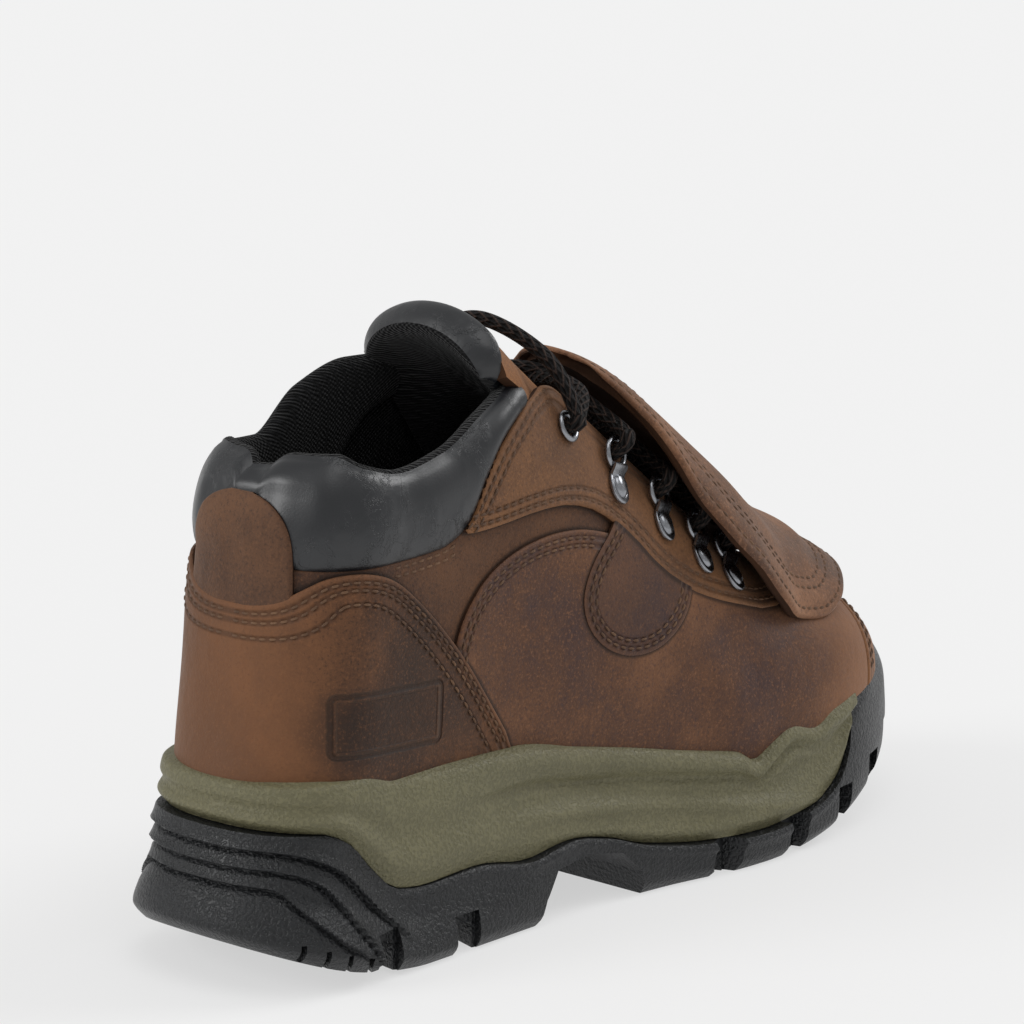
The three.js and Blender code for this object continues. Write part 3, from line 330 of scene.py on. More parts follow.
    def normal(self, share: np.ndarray, z: np.ndarray, side: np.ndarray) -> np.ndarray:
        """Return outward normals of the upper's outside."""
        along = self.skin(share + 0.004, z, side) - self.skin(share - 0.004, z, side)
        up = self.skin(share, z + 1, side) - self.skin(share, z - 1, side)
        return unit(np.cross(along, up) * -np.asarray(side, float)[..., None])

    def skin_out(self, share: np.ndarray, z: np.ndarray, side: np.ndarray, out: np.ndarray) -> np.ndarray:
        """Return points moved out from the upper's outside along its normal."""
        share, z, side, out = np.broadcast_arrays(*(np.asarray(v, float) for v in (share, z, side, out)))
        return self.skin(share, z, side) + self.normal(share, z, side) * out[..., None]

    def dome(self, share: np.ndarray, y: np.ndarray) -> np.ndarray:
        """Return the height of the full arch over a point of its plan."""
        wide = self.sections.sided(y, share) * BALL_HALF
        widest, top = self.row("widest", share), self.row("top", share)
        n = self.sections.read("square", share)
        return widest + (top - widest) * (1 - np.clip(np.abs(y) / wide, 0, 0.97) ** n) ** (1 / n)

    def over_dome(self, x: float, y: float, out: float) -> np.ndarray:
        """Return a point off the full arch."""

        def at(dx: float, dy: float) -> float:
            """Return the arch's height beside the point."""
            return float(self.dome(np.array((x + dx) / LENGTH), y + dy - self.swing(x / LENGTH)))

        normal = unit(np.array([at(-1, 0) - at(1, 0), at(0, -1) - at(0, 1), 2.0]))
        return np.array([x, y, at(0, 0)]) + normal * out

    def sole_ring(self, inset: Callable, height: Callable, around: int) -> np.ndarray:
        """Return the sole's outline seen from above, moved in, at given heights.

        Args:
            inset: How far in, as a function of the place along the boot.
            height: Height, as a function of the place along the boot.
            around: Points on each side.

        Returns:
            Points round the sole.
        """
        i = np.arange(2 * around)
        side = np.where(i < around, -1.0, 1.0)
        turn = math.pi * np.where(i < around, i, 2 * around - i) / around
        share = (1 - np.cos(turn)) / 2
        x = share * LENGTH
        wide = self.plan.sided(side, share) * BALL_HALF
        half = wide * round_end(x, 0.115 * LENGTH, 2.3) * round_end(LENGTH - x, 0.25 * LENGTH, 2.1)
        flat = np.stack([x, self.swing(share) + side * half], axis=1)
        along = unit(np.roll(flat, -1, axis=0) - np.roll(flat, 1, axis=0))
        move = inset(share)
        return np.stack([x - along[:, 1] * move, flat[:, 1] + along[:, 0] * move, height(share)], axis=1)


FORM = BootForm()
COLLAR_LOW = Table(
    "z",
    (0.0, 121), (0.18, 120), (0.24, 121), (0.275, 125.5), (0.3, 137), (0.33, 148), (0.37, 155), (0.41, 158),
)


# Meshes


@dataclass
class Sheet:
    """A triangle mesh in the boot's own axes, with a normal at each point."""

    points: np.ndarray
    normals: np.ndarray
    faces: np.ndarray

    def split(self, values: np.ndarray, level: float) -> tuple["Sheet", np.ndarray]:
        """Cut the faces along the line where values equal a level.

        Args:
            values: A number for each point.
            level: The level of the cut.

        Returns:
            The cut sheet and the values of its points.
        """
        s = values - level
        s[np.abs(s) < 0.03] = 0
        f = self.faces
        ends = [(f[:, k], f[:, (k + 1) % 3]) for k in range(3)]
        crossed = np.stack([s[a] * s[b] < 0 for a, b in ends], axis=1)
        edges = [np.sort(np.stack([a, b], 1), 1) for a, b in ends]
        pairs = np.concatenate([edge[crossed[:, k]] for k, edge in enumerate(edges)])
        if not len(pairs):
            return Sheet(self.points, self.normals, f), s + level
        found, inverse = np.unique(pairs, axis=0, return_inverse=True)
        t = (s[found[:, 0]] / (s[found[:, 0]] - s[found[:, 1]]))[:, None]
        points = self.points[found[:, 0]] * (1 - t) + self.points[found[:, 1]] * t
        normals = unit(self.normals[found[:, 0]] * (1 - t) + self.normals[found[:, 1]] * t)
        mid = np.full((len(f), 3), -1)
        start = 0
        for k in range(3):
            count = int(crossed[:, k].sum())
            mid[crossed[:, k], k] = len(self.points) + inverse.ravel()[start : start + count]
            start += count
        made = [f[~crossed.any(axis=1)]]
        for shift in range(3):
            g = np.roll(f, -shift, axis=1)
            m = np.roll(mid, -shift, axis=1)
            c = np.roll(crossed, -shift, axis=1)
            two = c[:, 0] & c[:, 1] & ~c[:, 2]
            v, w = g[two], m[two]
            made.append(np.stack([w[:, 0], v[:, 1], w[:, 1]], 1))
            made.append(np.stack([v[:, 0], w[:, 0], w[:, 1]], 1))
            made.append(np.stack([v[:, 0], w[:, 1], v[:, 2]], 1))
            one = c[:, 0] & ~c[:, 1] & ~c[:, 2]
            v, w = g[one], m[one]
            made.append(np.stack([v[:, 0], w[:, 0], v[:, 2]], 1))
            made.append(np.stack([w[:, 0], v[:, 1], v[:, 2]], 1))
        sheet = Sheet(
            np.vstack([self.points, points]),
            np.vstack([self.normals, normals]),
            np.vstack(made).astype(np.int64),
        )
        return sheet, np.concatenate([s, np.zeros(len(points))]) + level

    def keep(self, faces: np.ndarray) -> "Sheet":
        """Return the sheet with only some of its faces and the points that they use."""
        used, index = np.unique(self.faces[faces], return_inverse=True)
        return Sheet(self.points[used], self.normals[used], index.reshape(-1, 3))

    def border(self) -> np.ndarray:
        """Return the edges that have one face, in the direction in which the face runs."""
        edges = np.vstack([self.faces[:, [0, 1]], self.faces[:, [1, 2]], self.faces[:, [2, 0]]])
        key = np.sort(edges, axis=1)
        _, first, count = np.unique(key, axis=0, return_index=True, return_counts=True)
        return edges[first[count == 1]]


def point_normals(points: np.ndarray, faces: np.ndarray) -> np.ndarray:
    """Return normals of a mesh, alike where points share a place."""
    a, b, c = (points[faces[:, k]] for k in range(3))
    face = np.cross(b - a, c - a)
    _, index = np.unique(np.round(points, 3), axis=0, return_inverse=True)
    index = index.ravel()
    total = np.zeros((index.max() + 1, 3))
    for k in range(3):
        np.add.at(total, index[faces[:, k]], face)
    return unit(total[index])


def grid_faces(rows: int, columns: int, closed: bool = False) -> np.ndarray:
    """Return quads over a grid of points.

    Args:
        rows: Rows of points.
        columns: Points in a row.
        closed: Whether each row is a ring.

    Returns:
        The corners of each quad.
    """
    i, j = np.meshgrid(np.arange(rows - 1), np.arange(columns if closed else columns - 1), indexing="ij")
    i, j = i.ravel(), j.ravel()
    k = (j + 1) % columns
    return np.stack([i * columns + j, i * columns + k, (i + 1) * columns + k, (i + 1) * columns + j], axis=1)


def triangles(quads: np.ndarray) -> np.ndarray:
    """Return quads as pairs of triangles."""
    return np.vstack([quads[:, [0, 1, 2]], quads[:, [0, 2, 3]]])


@dataclass
class Part:
    """A mesh in the making: points and faces of several patches."""

    points: list[np.ndarray] = field(default_factory=list)
    faces: list[list[int]] = field(default_factory=list)
    finishes: list[int] = field(default_factory=list)
    flow: list[np.ndarray] = field(default_factory=list)
    count: int = 0

    def add(
        self,
        points: np.ndarray,
        faces: np.ndarray,
        finish: int | np.ndarray = 0,
        flow: np.ndarray | None = None,
    ) -> None:
        """Add a patch.

        Args:
            points: Its points.
            faces: Its faces, as rows of corners.
            finish: Which of the piece's materials its faces have.
            flow: Two numbers for each point, which its material reads as distances to edges or along a cord.
        """
        self.points.append(points)
        self.faces.extend((faces + self.count).tolist())
        self.finishes.extend(np.broadcast_to(finish, len(faces)).tolist())
        self.flow.append(np.full((len(points), 2), 40.0) if flow is None else flow)
        self.count += len(points)

    def build(self, name: str, slot: Slot, materials: list, angle: float = 50.0) -> bpy.types.Object:
        """Make the object and let it ride on the frame.

        Args:
            name: Its name.
            slot: The record's material slot; not used.
            materials: Its materials.
            angle: Edges sharper than this stay sharp, in degrees.

        Returns:
            The object.
        """
        points = (np.vstack(self.points) - ORIGIN) * MM
        mesh = bpy.data.meshes.new(name)
        mesh.from_pydata(points.tolist(), [], self.faces)
        layer = mesh.uv_layers.new(name="flow")
        corners = np.zeros(len(mesh.loops), np.int32)
        mesh.loops.foreach_get("vertex_index", corners)
        layer.data.foreach_set("uv", np.vstack(self.flow)[corners].astype(np.float32).ravel())
        for material in materials:
            mesh.materials.append(material)
        mesh.polygons.foreach_set("material_index", np.array(self.finishes, np.int32))
        mesh.validate()
        mesh.set_sharp_from_angle(angle=math.radians(angle))
        piece = bpy.data.objects.new(name, mesh)
        bpy.context.scene.collection.objects.link(piece)
        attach(piece, BODY)
        log.info("%s: %d faces", name, len(mesh.polygons))
        return piece


# Shader maths


class Wire:
    """One output of a material's nodes, with the arithmetic that Math nodes do."""

    def __init__(self, tree: bpy.types.NodeTree, socket: bpy.types.NodeSocket) -> None:
        """Keep the tree and the socket."""
        self.tree, self.socket = tree, socket

    def _math(self, operation: str, *values: object) -> "Wire":
        """Return a Math node's result."""
        node = self.tree.nodes.new("ShaderNodeMath")
        node.operation = operation
        for k, value in enumerate(values):
            if isinstance(value, Wire):
                self.tree.links.new(value.socket, node.inputs[k])
            else:
                node.inputs[k].default_value = value
        return Wire(self.tree, node.outputs[0])

    def __add__(self, other: object) -> "Wire":
        """Return the sum."""
        return self._math("ADD", self, other)

    __radd__ = __add__

    def __sub__(self, other: object) -> "Wire":
        """Return the difference."""
        return self._math("SUBTRACT", self, other)

    def __rsub__(self, other: object) -> "Wire":
        """Return the difference, the other way round."""
        return self._math("SUBTRACT", other, self)

    def __mul__(self, other: object) -> "Wire":
        """Return the product."""
        return self._math("MULTIPLY", self, other)

    __rmul__ = __mul__

    def __pow__(self, other: object) -> "Wire":
        """Return the power."""
        return self._math("POWER", self, other)

    def __abs__(self) -> "Wire":
        """Return the size without its sign."""
        return self._math("ABSOLUTE", self)

    def most(self, other: object) -> "Wire":
        """Return the higher of two values."""
        return self._math("MAXIMUM", self, other)

    def sine(self) -> "Wire":
        """Return the sine."""
        return self._math("SINE", self)

    def ramp(self, low: float, high: float) -> "Wire":
        """Return a soft ramp from 0 at low to 1 at high; low may be above high."""
        node = self.tree.nodes.new("ShaderNodeMapRange")
        node.interpolation_type = "SMOOTHSTEP"
        self.tree.links.new(self.socket, node.inputs["Value"])
        node.inputs["From Min"].default_value = min(low, high)
        node.inputs["From Max"].default_value = max(low, high)
        if low > high:
            node.inputs["To Min"].default_value, node.inputs["To Max"].default_value = 1.0, 0.0
        return Wire(self.tree, node.outputs[0])


def srgb(text: str) -> tuple[float, float, float, float]:
    """Return a colour written as six hexadecimal digits, as linear light."""
    parts = [int(text[k : k + 2], 16) / 255 for k in (0, 2, 4)]
    light = [p / 12.92 if p <= 0.04045 else ((p + 0.055) / 1.055) ** 2.4 for p in parts]
    return (*light, 1.0)


class Finish:
    """A material in the making, on a Principled shader."""

    def __init__(self, name: str) -> None:
        """Make the material and its shader.

        Args:
            name: The material's name.
        """
        self.material = bpy.data.materials.new(name)
        self.material.use_nodes = True
        self.tree = self.material.node_tree
        self.shader = next(n for n in self.tree.nodes if n.type == "BSDF_PRINCIPLED")

    def node(self, kind: str, settings: dict | None = None, output: int | str = 0, **sockets: object) -> Wire:
        """Add a node.

        Args:
            kind: The node's type.
            settings: Its settings, set first.
            output: The output to return.
            sockets: Values or links of its sockets, by name, with _ for a space.

        Returns:
            The node's output.
        """
        made = self.tree.nodes.new(kind)
        for key, value in (settings or {}).items():
            setattr(made, key, value)
        for key, value in sockets.items():
            name = key.replace("_", " ")
            socket = next(s for s in made.inputs if s.name == name and s.enabled)
            if isinstance(value, Wire):
                self.tree.links.new(value.socket, socket)
            else:
                socket.default_value = value
        if isinstance(output, int):
            return Wire(self.tree, made.outputs[output])
        return Wire(self.tree, next(s for s in made.outputs if s.name == output and s.enabled))

    def place(self) -> Wire:
        """Return the point on the object, in metres."""
        return self.node("ShaderNodeTexCoord", output="Object")

    def noise(
        self,
        scale: float,
        detail: float = 3.0,
        rough: float = 0.5,
        warp: float = 0.0,
        vector: Wire | None = None,
    ) -> Wire:
        """Return a cloud noise from 0 to 1.

        Args:
            scale: Waves for each millimetre.
            detail: Finer waves laid over the first.
            rough: How strong the finer waves are.
            warp: How far the waves are pulled about.
            vector: Where the noise is read, or none for the place on the object.

        Returns:
            The noise.
        """
        return self.node(
            "ShaderNodeTexNoise",
            Vector=vector or self.place(),
            Scale=scale / MM,
            Detail=detail,
            Roughness=rough,
            Distortion=warp,
        )

    def mix(self, share: Wire | float, a: object, b: object) -> Wire:
        """Return a colour between two."""
        made = self.tree.nodes.new("ShaderNodeMix")
        made.data_type = "RGBA"
        for index, value in ((0, share), (6, a), (7, b)):
            if isinstance(value, Wire):
                self.tree.links.new(value.socket, made.inputs[index])
            else:
                made.inputs[index].default_value = value
        return Wire(self.tree, made.outputs[2])

    def set(self, name: str, value: object) -> None:
        """Set or link one of the shader's sockets."""
        socket = self.shader.inputs[name]
        if isinstance(value, Wire):
            self.tree.links.new(value.socket, socket)
        else:
            socket.default_value = value

    def bump(self, height: Wire, depth: float) -> None:
        """Give the surface a relief, its depth in millimetres."""
        self.set("Normal", self.node("ShaderNodeBump", Height=height, Distance=depth * MM, Strength=1.0))


STAMP_X, STAMP_Z = -102.5, 74.3  # middle of the stamp frame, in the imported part's axes
STAMP_HALF_X, STAMP_HALF_Z = 20.5, 8.8
STAMP_TURN = -0.06


@dataclass(frozen=True)
class Nubuck:
    """Oiled brown leather with a short nap: tan where rubbing wore it, dark where the oil sits. A painted
    highlight runs along its own edges and, where a span is given, over a lit stretch; painted shade lies
    along the panels laid on it, in its stitch rows and in the stamp's pressed lines.
    """

    name: str
    base: str = "5f3b22"
    rubbed_and_highlight: str = "8a5a30"
    oiled_and_shade: str = "3d2820"
    shift: float = 0.0
    rows: tuple[float, ...] = ()
    # Span along x, in millimetres, over which a painted highlight fades in.
    painted_light_span: tuple[float, float] | None = None
    stamped: bool = False

    def make(self) -> bpy.types.Material:
        """Make the material."""
        f = Finish(self.name)
        spot = f.node("ShaderNodeVectorMath", {"operation": "ADD"}, Vector=f.place())
        spot.socket.node.inputs[1].default_value = (self.shift, self.shift * 0.7, self.shift * 0.4)
        wide = f.noise(0.017, 3, 0.55, 0.4, spot)
        patch = f.noise(0.05, 4, 0.65, 0.6, spot)
        nap = f.noise(1.1, 4, 0.7)
        smear = f.noise(0.16, 4, 0.7, 0.8, spot)
        light = (wide * 0.7 + patch * 0.2 + smear * 0.1).ramp(0.46, 0.68)
        dark = (wide * 0.6 + patch * 0.25 + smear * 0.15).ramp(0.52, 0.34)
        colour = f.mix(light * 0.75, srgb(self.base), srgb(self.rubbed_and_highlight))
        colour = f.mix(dark * 0.85, colour, srgb(self.oiled_and_shade))
        colour = f.mix(nap.ramp(0.5, 0.75) * 0.75, colour, srgb(self.rubbed_and_highlight))
        colour = f.mix(nap.ramp(0.48, 0.28) * 0.8, colour, srgb(self.oiled_and_shade))
        # Painted highlight: lighter along x over the given span, toward the lit front of the vamp and the lit
        # back of the heel.
        if self.painted_light_span:
            along = f.node("ShaderNodeSeparateXYZ", output="X", Vector=f.place())
            colour = f.mix((along * (1 / MM)).ramp(*self.painted_light_span) * 0.6, colour, srgb(self.rubbed_and_highlight))
        own, cover = self.edges(f)
        # Painted highlight along the panel's own edge.
        colour = f.mix(own.ramp(1.1, 0.3) * 0.22, colour, srgb(self.rubbed_and_highlight))
        # Painted shade along the edges of the panels that lie on this one.
        colour = f.mix(cover.ramp(1.5, 0.1) * 0.8, colour, srgb("1c120d"))
        trough = self.troughs(own)
        # Painted shade darkens the stitch rows.
        if trough:
            colour = f.mix(trough * 0.45, colour, srgb(self.oiled_and_shade))
        pressed = self.stamp(f) if self.stamped else None
        # Painted shade darkens the stamp's pressed lines.
        if pressed:
            colour = f.mix(pressed * 0.6, colour, srgb("1c120d"))
        f.set("Base Color", colour)
        f.set("Roughness", 0.52 + nap * 0.16 + light * 0.08 - dark * 0.1)
        f.set("Specular IOR Level", 0.24)
        f.set("Sheen Weight", 0.2)
        f.set("Sheen Tint", srgb("d3b199"))
        height = f.noise(2.0, 3, 0.65) * 0.09 + f.noise(0.5, 4, 0.65) * 0.2 + f.noise(0.12, 3, 0.6) * 0.5
        if trough:
            height = height - trough * 0.45
        if pressed:
            height = height - pressed * 1.1
        f.bump(height, 1.0)
        return f.material

    def edges(self, f: Finish) -> tuple[Wire, Wire]:
        """Return the distances to the panel's own edge and to the panels that lie on it, in millimetres."""
        flow = f.node("ShaderNodeUVMap", {"uv_map": "flow"})
        own = f.node("ShaderNodeSeparateXYZ", output="X", Vector=flow)
        return own, Wire(f.tree, own.socket.node.outputs["Y"])

    def troughs(self, own: Wire) -> Wire | None:
        """Return 1 along the rows of stitches, where the thread pulls the leather in."""
        total = None
        for row in self.rows:
            trough = abs(own - row).ramp(1.1, 0.15)
            total = trough if total is None else total.most(trough)
        return total

    def stamp(self, f: Finish) -> Wire:
        """Return the pressed lines of the bare stamp frame on the counter's outer side."""
        axes = f.node("ShaderNodeSeparateXYZ", output="X", Vector=f.place())
        x = (axes - STAMP_X * MM) * (1 / MM)
        z = (Wire(f.tree, axes.socket.node.outputs["Z"]) - STAMP_Z * MM) * (1 / MM)
        y = Wire(f.tree, axes.socket.node.outputs["Y"])
        turned_x = x * math.cos(STAMP_TURN) + z * math.sin(STAMP_TURN)
        turned_z = z * math.cos(STAMP_TURN) - x * math.sin(STAMP_TURN)
        far_x = (abs(turned_x) - (STAMP_HALF_X - 2)).most(0.0)
        far_z = (abs(turned_z) - (STAMP_HALF_Z - 2)).most(0.0)
        edge = (far_x * far_x + far_z * far_z) ** 0.5 - 2.0
        line = abs(edge).ramp(1.1, 0.3) + abs(edge + 2.1).ramp(0.6, 0.15) * 0.5
        return line * y.ramp(-0.001, -0.012)


@dataclass(frozen=True)
class Plain:
    """A finish with one colour, mottled a little, and a fine relief."""

    name: str
    colour: str
    second: str
    roughness: float
    spread: float = 0.1
    cell: float = 0.0
    grain: float = 0.5
    depth: float = 0.1
    specular: float = 0.5

    def make(self) -> bpy.types.Material:
        """Make the material."""
        f = Finish(self.name)
        cloud = f.noise(0.05, 4, 0.6)
        fine = f.noise(self.grain, 3, 0.6)
        mottle = cloud.ramp(0.35, 0.7) * 0.6 + fine * 0.3
        f.set("Roughness", self.roughness + (fine - 0.5) * self.spread + (cloud - 0.5) * self.spread)
        f.set("Specular IOR Level", self.specular)
        height = fine
        if self.cell:
            pebble = f.noise(self.cell * 1.5, 2, 0.5).ramp(0.36, 0.64)
            mottle = pebble * 0.3 + cloud * 0.45
            height = pebble + fine * 0.25
        f.set("Base Color", f.mix(mottle, srgb(self.colour), srgb(self.second)))
        f.bump(height, self.depth)
        return f.material


@dataclass(frozen=True)
class SmoothSynthetic:
    """Black coated fabric with a soft gloss and fine creases."""

    name: str = "black_synthetic"

    def make(self) -> bpy.types.Material:
        """Make the material."""
        f = Finish(self.name)
        cloud = f.noise(0.04, 3, 0.6)
        f.set("Base Color", f.mix(cloud, srgb("0a0c10"), srgb("14171c")))
        f.set("Roughness", 0.34 + cloud * 0.12)
        f.set("Specular IOR Level", 0.6)
        f.set("Coat Weight", 0.2)
        f.set("Coat Roughness", 0.3)
        long = f.node("ShaderNodeMapping", Vector=f.place(), Scale=(1.0, 1.0, 0.55))
        veins = abs(f.noise(0.11, 5, 0.62, 1.0, long) - 0.5).ramp(0.0, 0.022)
        second = abs(f.noise(0.23, 4, 0.6, 0.6, long) - 0.52).ramp(0.0, 0.02)
        where = cloud.ramp(0.42, 0.62)
        folds = veins * where + second * where * 0.5
        f.bump(folds * 1.1 + f.noise(1.4, 2, 0.6) * 0.2 + f.noise(0.05, 2, 0.5) * 3.0, 0.22)
        return f.material


@dataclass(frozen=True)
class Knit:
    """Black lining knit: raised stitches in offset rows."""

    name: str = "lining_knit"
    pitch: float = 1.5

    def make(self) -> bpy.types.Material:
        """Make the material."""
        f = Finish(self.name)
        axes = f.node("ShaderNodeSeparateXYZ", output="X", Vector=f.place())
        wave = 2 * math.pi / (self.pitch * MM)
        x = (axes + Wire(f.tree, axes.socket.node.outputs["Y"]) * 0.8 + f.noise(0.08) * 0.004) * wave
        z = (Wire(f.tree, axes.socket.node.outputs["Z"]) + f.noise(0.06) * 0.004) * wave
        loops = x.sine() * z.sine() + (x * 0.5 + z).sine() * 0.5
        f.set("Base Color", f.mix(loops.ramp(-1.0, 1.0), srgb("030303"), srgb("101012")))
        f.set("Roughness", 0.95)
        f.set("Specular IOR Level", 0.2)
        f.set("Sheen Weight", 0.1)
        f.bump(loops + f.noise(1.5, 3, 0.6) * 0.6, 0.3)
        return f.material


@dataclass(frozen=True)
class Braid:
    """A round braided cord, black with brown strands; its pattern runs with the cord, and painted shade
    darkens the gaps between strands.
    """

    name: str = "braided_cord"
    strands: float = 6.0
    pitch: float = 4.4

    def make(self) -> bpy.types.Material:
        """Make the material."""
        f = Finish(self.name)
        flow = f.node("ShaderNodeUVMap", {"uv_map": "flow"})
        axes = f.node("ShaderNodeSeparateXYZ", output="X", Vector=flow)
        round_turn = axes * (2 * math.pi * self.strands / 2)
        along = Wire(f.tree, axes.socket.node.outputs["Y"]) * (2 * math.pi / self.pitch)
        left, right = (round_turn + along).sine(), (round_turn - along).sine()
        plait = left.most(right)
        over = (left - right).ramp(-0.3, 0.3)
        colour = f.mix(over, srgb("161211"), srgb("382b25"))
        # Painted shade in the gaps between the strands.
        f.set("Base Color", f.mix(plait.ramp(0.1, 0.9), srgb("060505"), colour))
        f.set("Roughness", 0.6 + f.noise(1.5) * 0.2)
        f.set("Specular IOR Level", 0.25)
        f.bump(plait + f.noise(2.5, 2, 0.6) * 0.25, 0.7)
        return f.material


@dataclass(frozen=True)
class Gunmetal:
    """Plated steel with a dark gloss."""

    name: str = "gunmetal_plate"

    def make(self) -> bpy.types.Material:
        """Make the material."""
        f = Finish(self.name)
        cloud = f.noise(0.6, 3, 0.6)
        f.set("Base Color", f.mix(cloud, srgb("75777b"), srgb("a9abb0")))
        f.set("Metallic", 1.0)
        f.set("Roughness", 0.2 + cloud * 0.14)
        f.bump(f.noise(1.2, 3, 0.6), 0.03)
        return f.material


class Palette:
    """Every finish of the boot, made once."""

    def __init__(self) -> None:
        """Make the materials."""
        self.quarter = Nubuck("nubuck_quarter", "452d20", "6d4a31", "2d1f18", shift=0.03).make()
        # The vamp and the counter take a painted highlight over their spans, toward the toe and toward the
        # back of the heel.
        self.vamp = Nubuck(
            "nubuck_vamp", "583a28", "875d40", "36272a", shift=0.11, rows=SEAM_ROWS, painted_light_span=(65.0, 108.0)
        ).make()
        self.toe = Nubuck("nubuck_toe", "6e4a31", "94653f", "452e22", shift=0.9, rows=SEAM_ROWS).make()
        self.counter = Nubuck(
            "nubuck_counter", "3a261b", "7a5134", "261a14", shift=0.25, rows=COUNTER_ROWS,
            painted_light_span=(-116.0, -134.0), stamped=True,
        ).make()
        self.eyestay = Nubuck(
            "nubuck_eyestay", "694830", "906440", "473022", shift=0.31, rows=EYESTAY_ROWS
        ).make()
        self.patch = Nubuck("nubuck_patch", "4f362a", "6f4c36", "33262a", shift=0.43, rows=SEAM_ROWS).make()
        self.guard = Nubuck("nubuck_guard", "6c4a34", "a07558", "463228", shift=0.57).make()
        self.tab = Nubuck("nubuck_tab", "4a3224", "6f4d35", "31231c", shift=0.71).make()
        self.tongue = Nubuck("nubuck_tongue", "80532f", "a67546", "5c3d25", shift=0.83).make()
        self.edge = Plain(
            "cut_leather_edge", "2c1b11", "4a2f1c", 0.85, grain=1.2, depth=0.15, specular=0.2
        ).make()
        self.thread = Plain("thread", "4b3628", "7a5b42", 0.6, grain=2.0, depth=0.05, specular=0.3).make()
        self.synthetic = SmoothSynthetic().make()
        self.knit = Knit().make()
        self.foam = Plain(
            "olive_foam", "5c5942", "7f7a5c", 0.5, spread=0.2, cell=0.62, grain=1.6, depth=0.22, specular=0.35
        ).make()
        self.rubber = Plain(
            "charcoal_rubber", "0d0e0f", "212326", 0.38, 0.2, cell=0.62, grain=1.6, depth=0.24, specular=0.42
        ).make()
        self.cord = Braid().make()
        self.metal = Gunmetal().make()


# The leather


def across_distance(points: np.ndarray, outline: np.ndarray) -> np.ndarray:
    """Return the signed distance in a plane from points to a closed outline, positive inside.

    Args:
        points: Points of the plane.
        outline: Corners of the outline.

    Returns:
        Distances in millimetres.
    """
    a, b = outline, np.roll(outline, -1, axis=0)
    best = np.full(len(points), 1e9)
    inside = np.zeros(len(points), bool)
    for p, q in zip(a, b):
        d = q - p
        span = float(d @ d)
        if span < 1e-12:
            continue
        t = np.clip(((points - p) @ d) / span, 0, 1)
        best = np.minimum(best, np.hypot(*(points - p - t[:, None] * d).T))
        if p[1] != q[1]:
            crosses = (p[1] > points[:, 1]) != (q[1] > points[:, 1])
            inside ^= crosses & (points[:, 0] < p[0] + (points[:, 1] - p[1]) * d[0] / d[1])
    return np.where(inside, best, -best)


def rounded(points: np.ndarray, times: int = 2, closed: bool = True) -> np.ndarray:
    """Return an outline with its corners cut and cut again."""
    line = np.asarray(points, float)
    for _ in range(times):
        after = np.roll(line, -1, axis=0) if closed else line[1:]
        before = line if closed else line[:-1]
        cut = np.stack([0.75 * before + 0.25 * after, 0.25 * before + 0.75 * after], axis=1).reshape(-1, 2)
        line = cut if closed else np.vstack([line[:1], cut, line[-1:]])
    return line


def corner(a: np.ndarray, b: np.ndarray, radius: float) -> np.ndarray:
    """Return the overlap of two signed distances, its corner rounded."""
    near = (a < radius) & (b < radius)
    turned = radius - np.hypot(radius - np.minimum(a, radius), radius - np.minimum(b, radius))
    return np.where(near, turned, np.minimum(a, b))


def in_mm(*rows: tuple[float, float]) -> np.ndarray:
    """Return points of the side view, given as shares of the length and heights, in millimetres."""
    return np.array([(at * LENGTH, z) for at, z in rows])


# Lines of the side view that panels end on and stitches follow.
EYESTAY_LOW = in_mm(
    (0.262, 125.5), (0.266, 123.6), (0.274, 122.7), (0.285, 122.5), (0.316, 122.8), (0.372, 124.6),
    (0.4175, 124.1),
    (0.46, 119.7), (0.501, 110.1), (0.537, 97.8), (0.578, 89.4), (0.614, 84.5), (0.653, 80.2),
    (0.7, 76), (0.76, 76.5),
)
EYESTAY_BACK = in_mm(
    (0.47, 158.5), (0.4, 158.5), (0.385, 157.5), (0.372, 155.5), (0.33, 147.6), (0.302, 138),
    (0.277, 128.5), (0.262, 125.5)
)
COUNTER_LINE = in_mm(
    (0.0426, 107), (0.055, 107), (0.07, 107.6), (0.083, 110.5), (0.094, 114.5), (0.11, 118), (0.14, 118.4),
    (0.173, 115), (0.205, 107), (0.239, 96.5), (0.273, 84.2), (0.3, 71.9), (0.338, 54.8), (0.352, 20),
)
VAMP_LINE = in_mm(
    (0.18, 10), (0.24, 75), (0.259, 92.1), (0.268, 98.5), (0.295, 107.9), (0.336, 114), (0.3835, 116.7),
    (0.4265, 116.2),
    (0.456, 114), (0.48, 111.5), (0.495, 112.5), (0.51, 125), (0.51, 220),
)
PATCH_LINE = in_mm(
    (0.61, 108), (0.56, 130), (0.51, 124), (0.472, 113), (0.452, 108.5), (0.4355, 103), (0.4242, 95.1),
    (0.431, 85.9),
    (0.4536, 78.5), (0.4853, 74.5), (0.5192, 74.7), (0.5464, 78.5), (0.569, 84.5), (0.582, 91),
)
TOE_LINE = in_mm((0.846, 20), (0.852, 60), (0.862, 100))


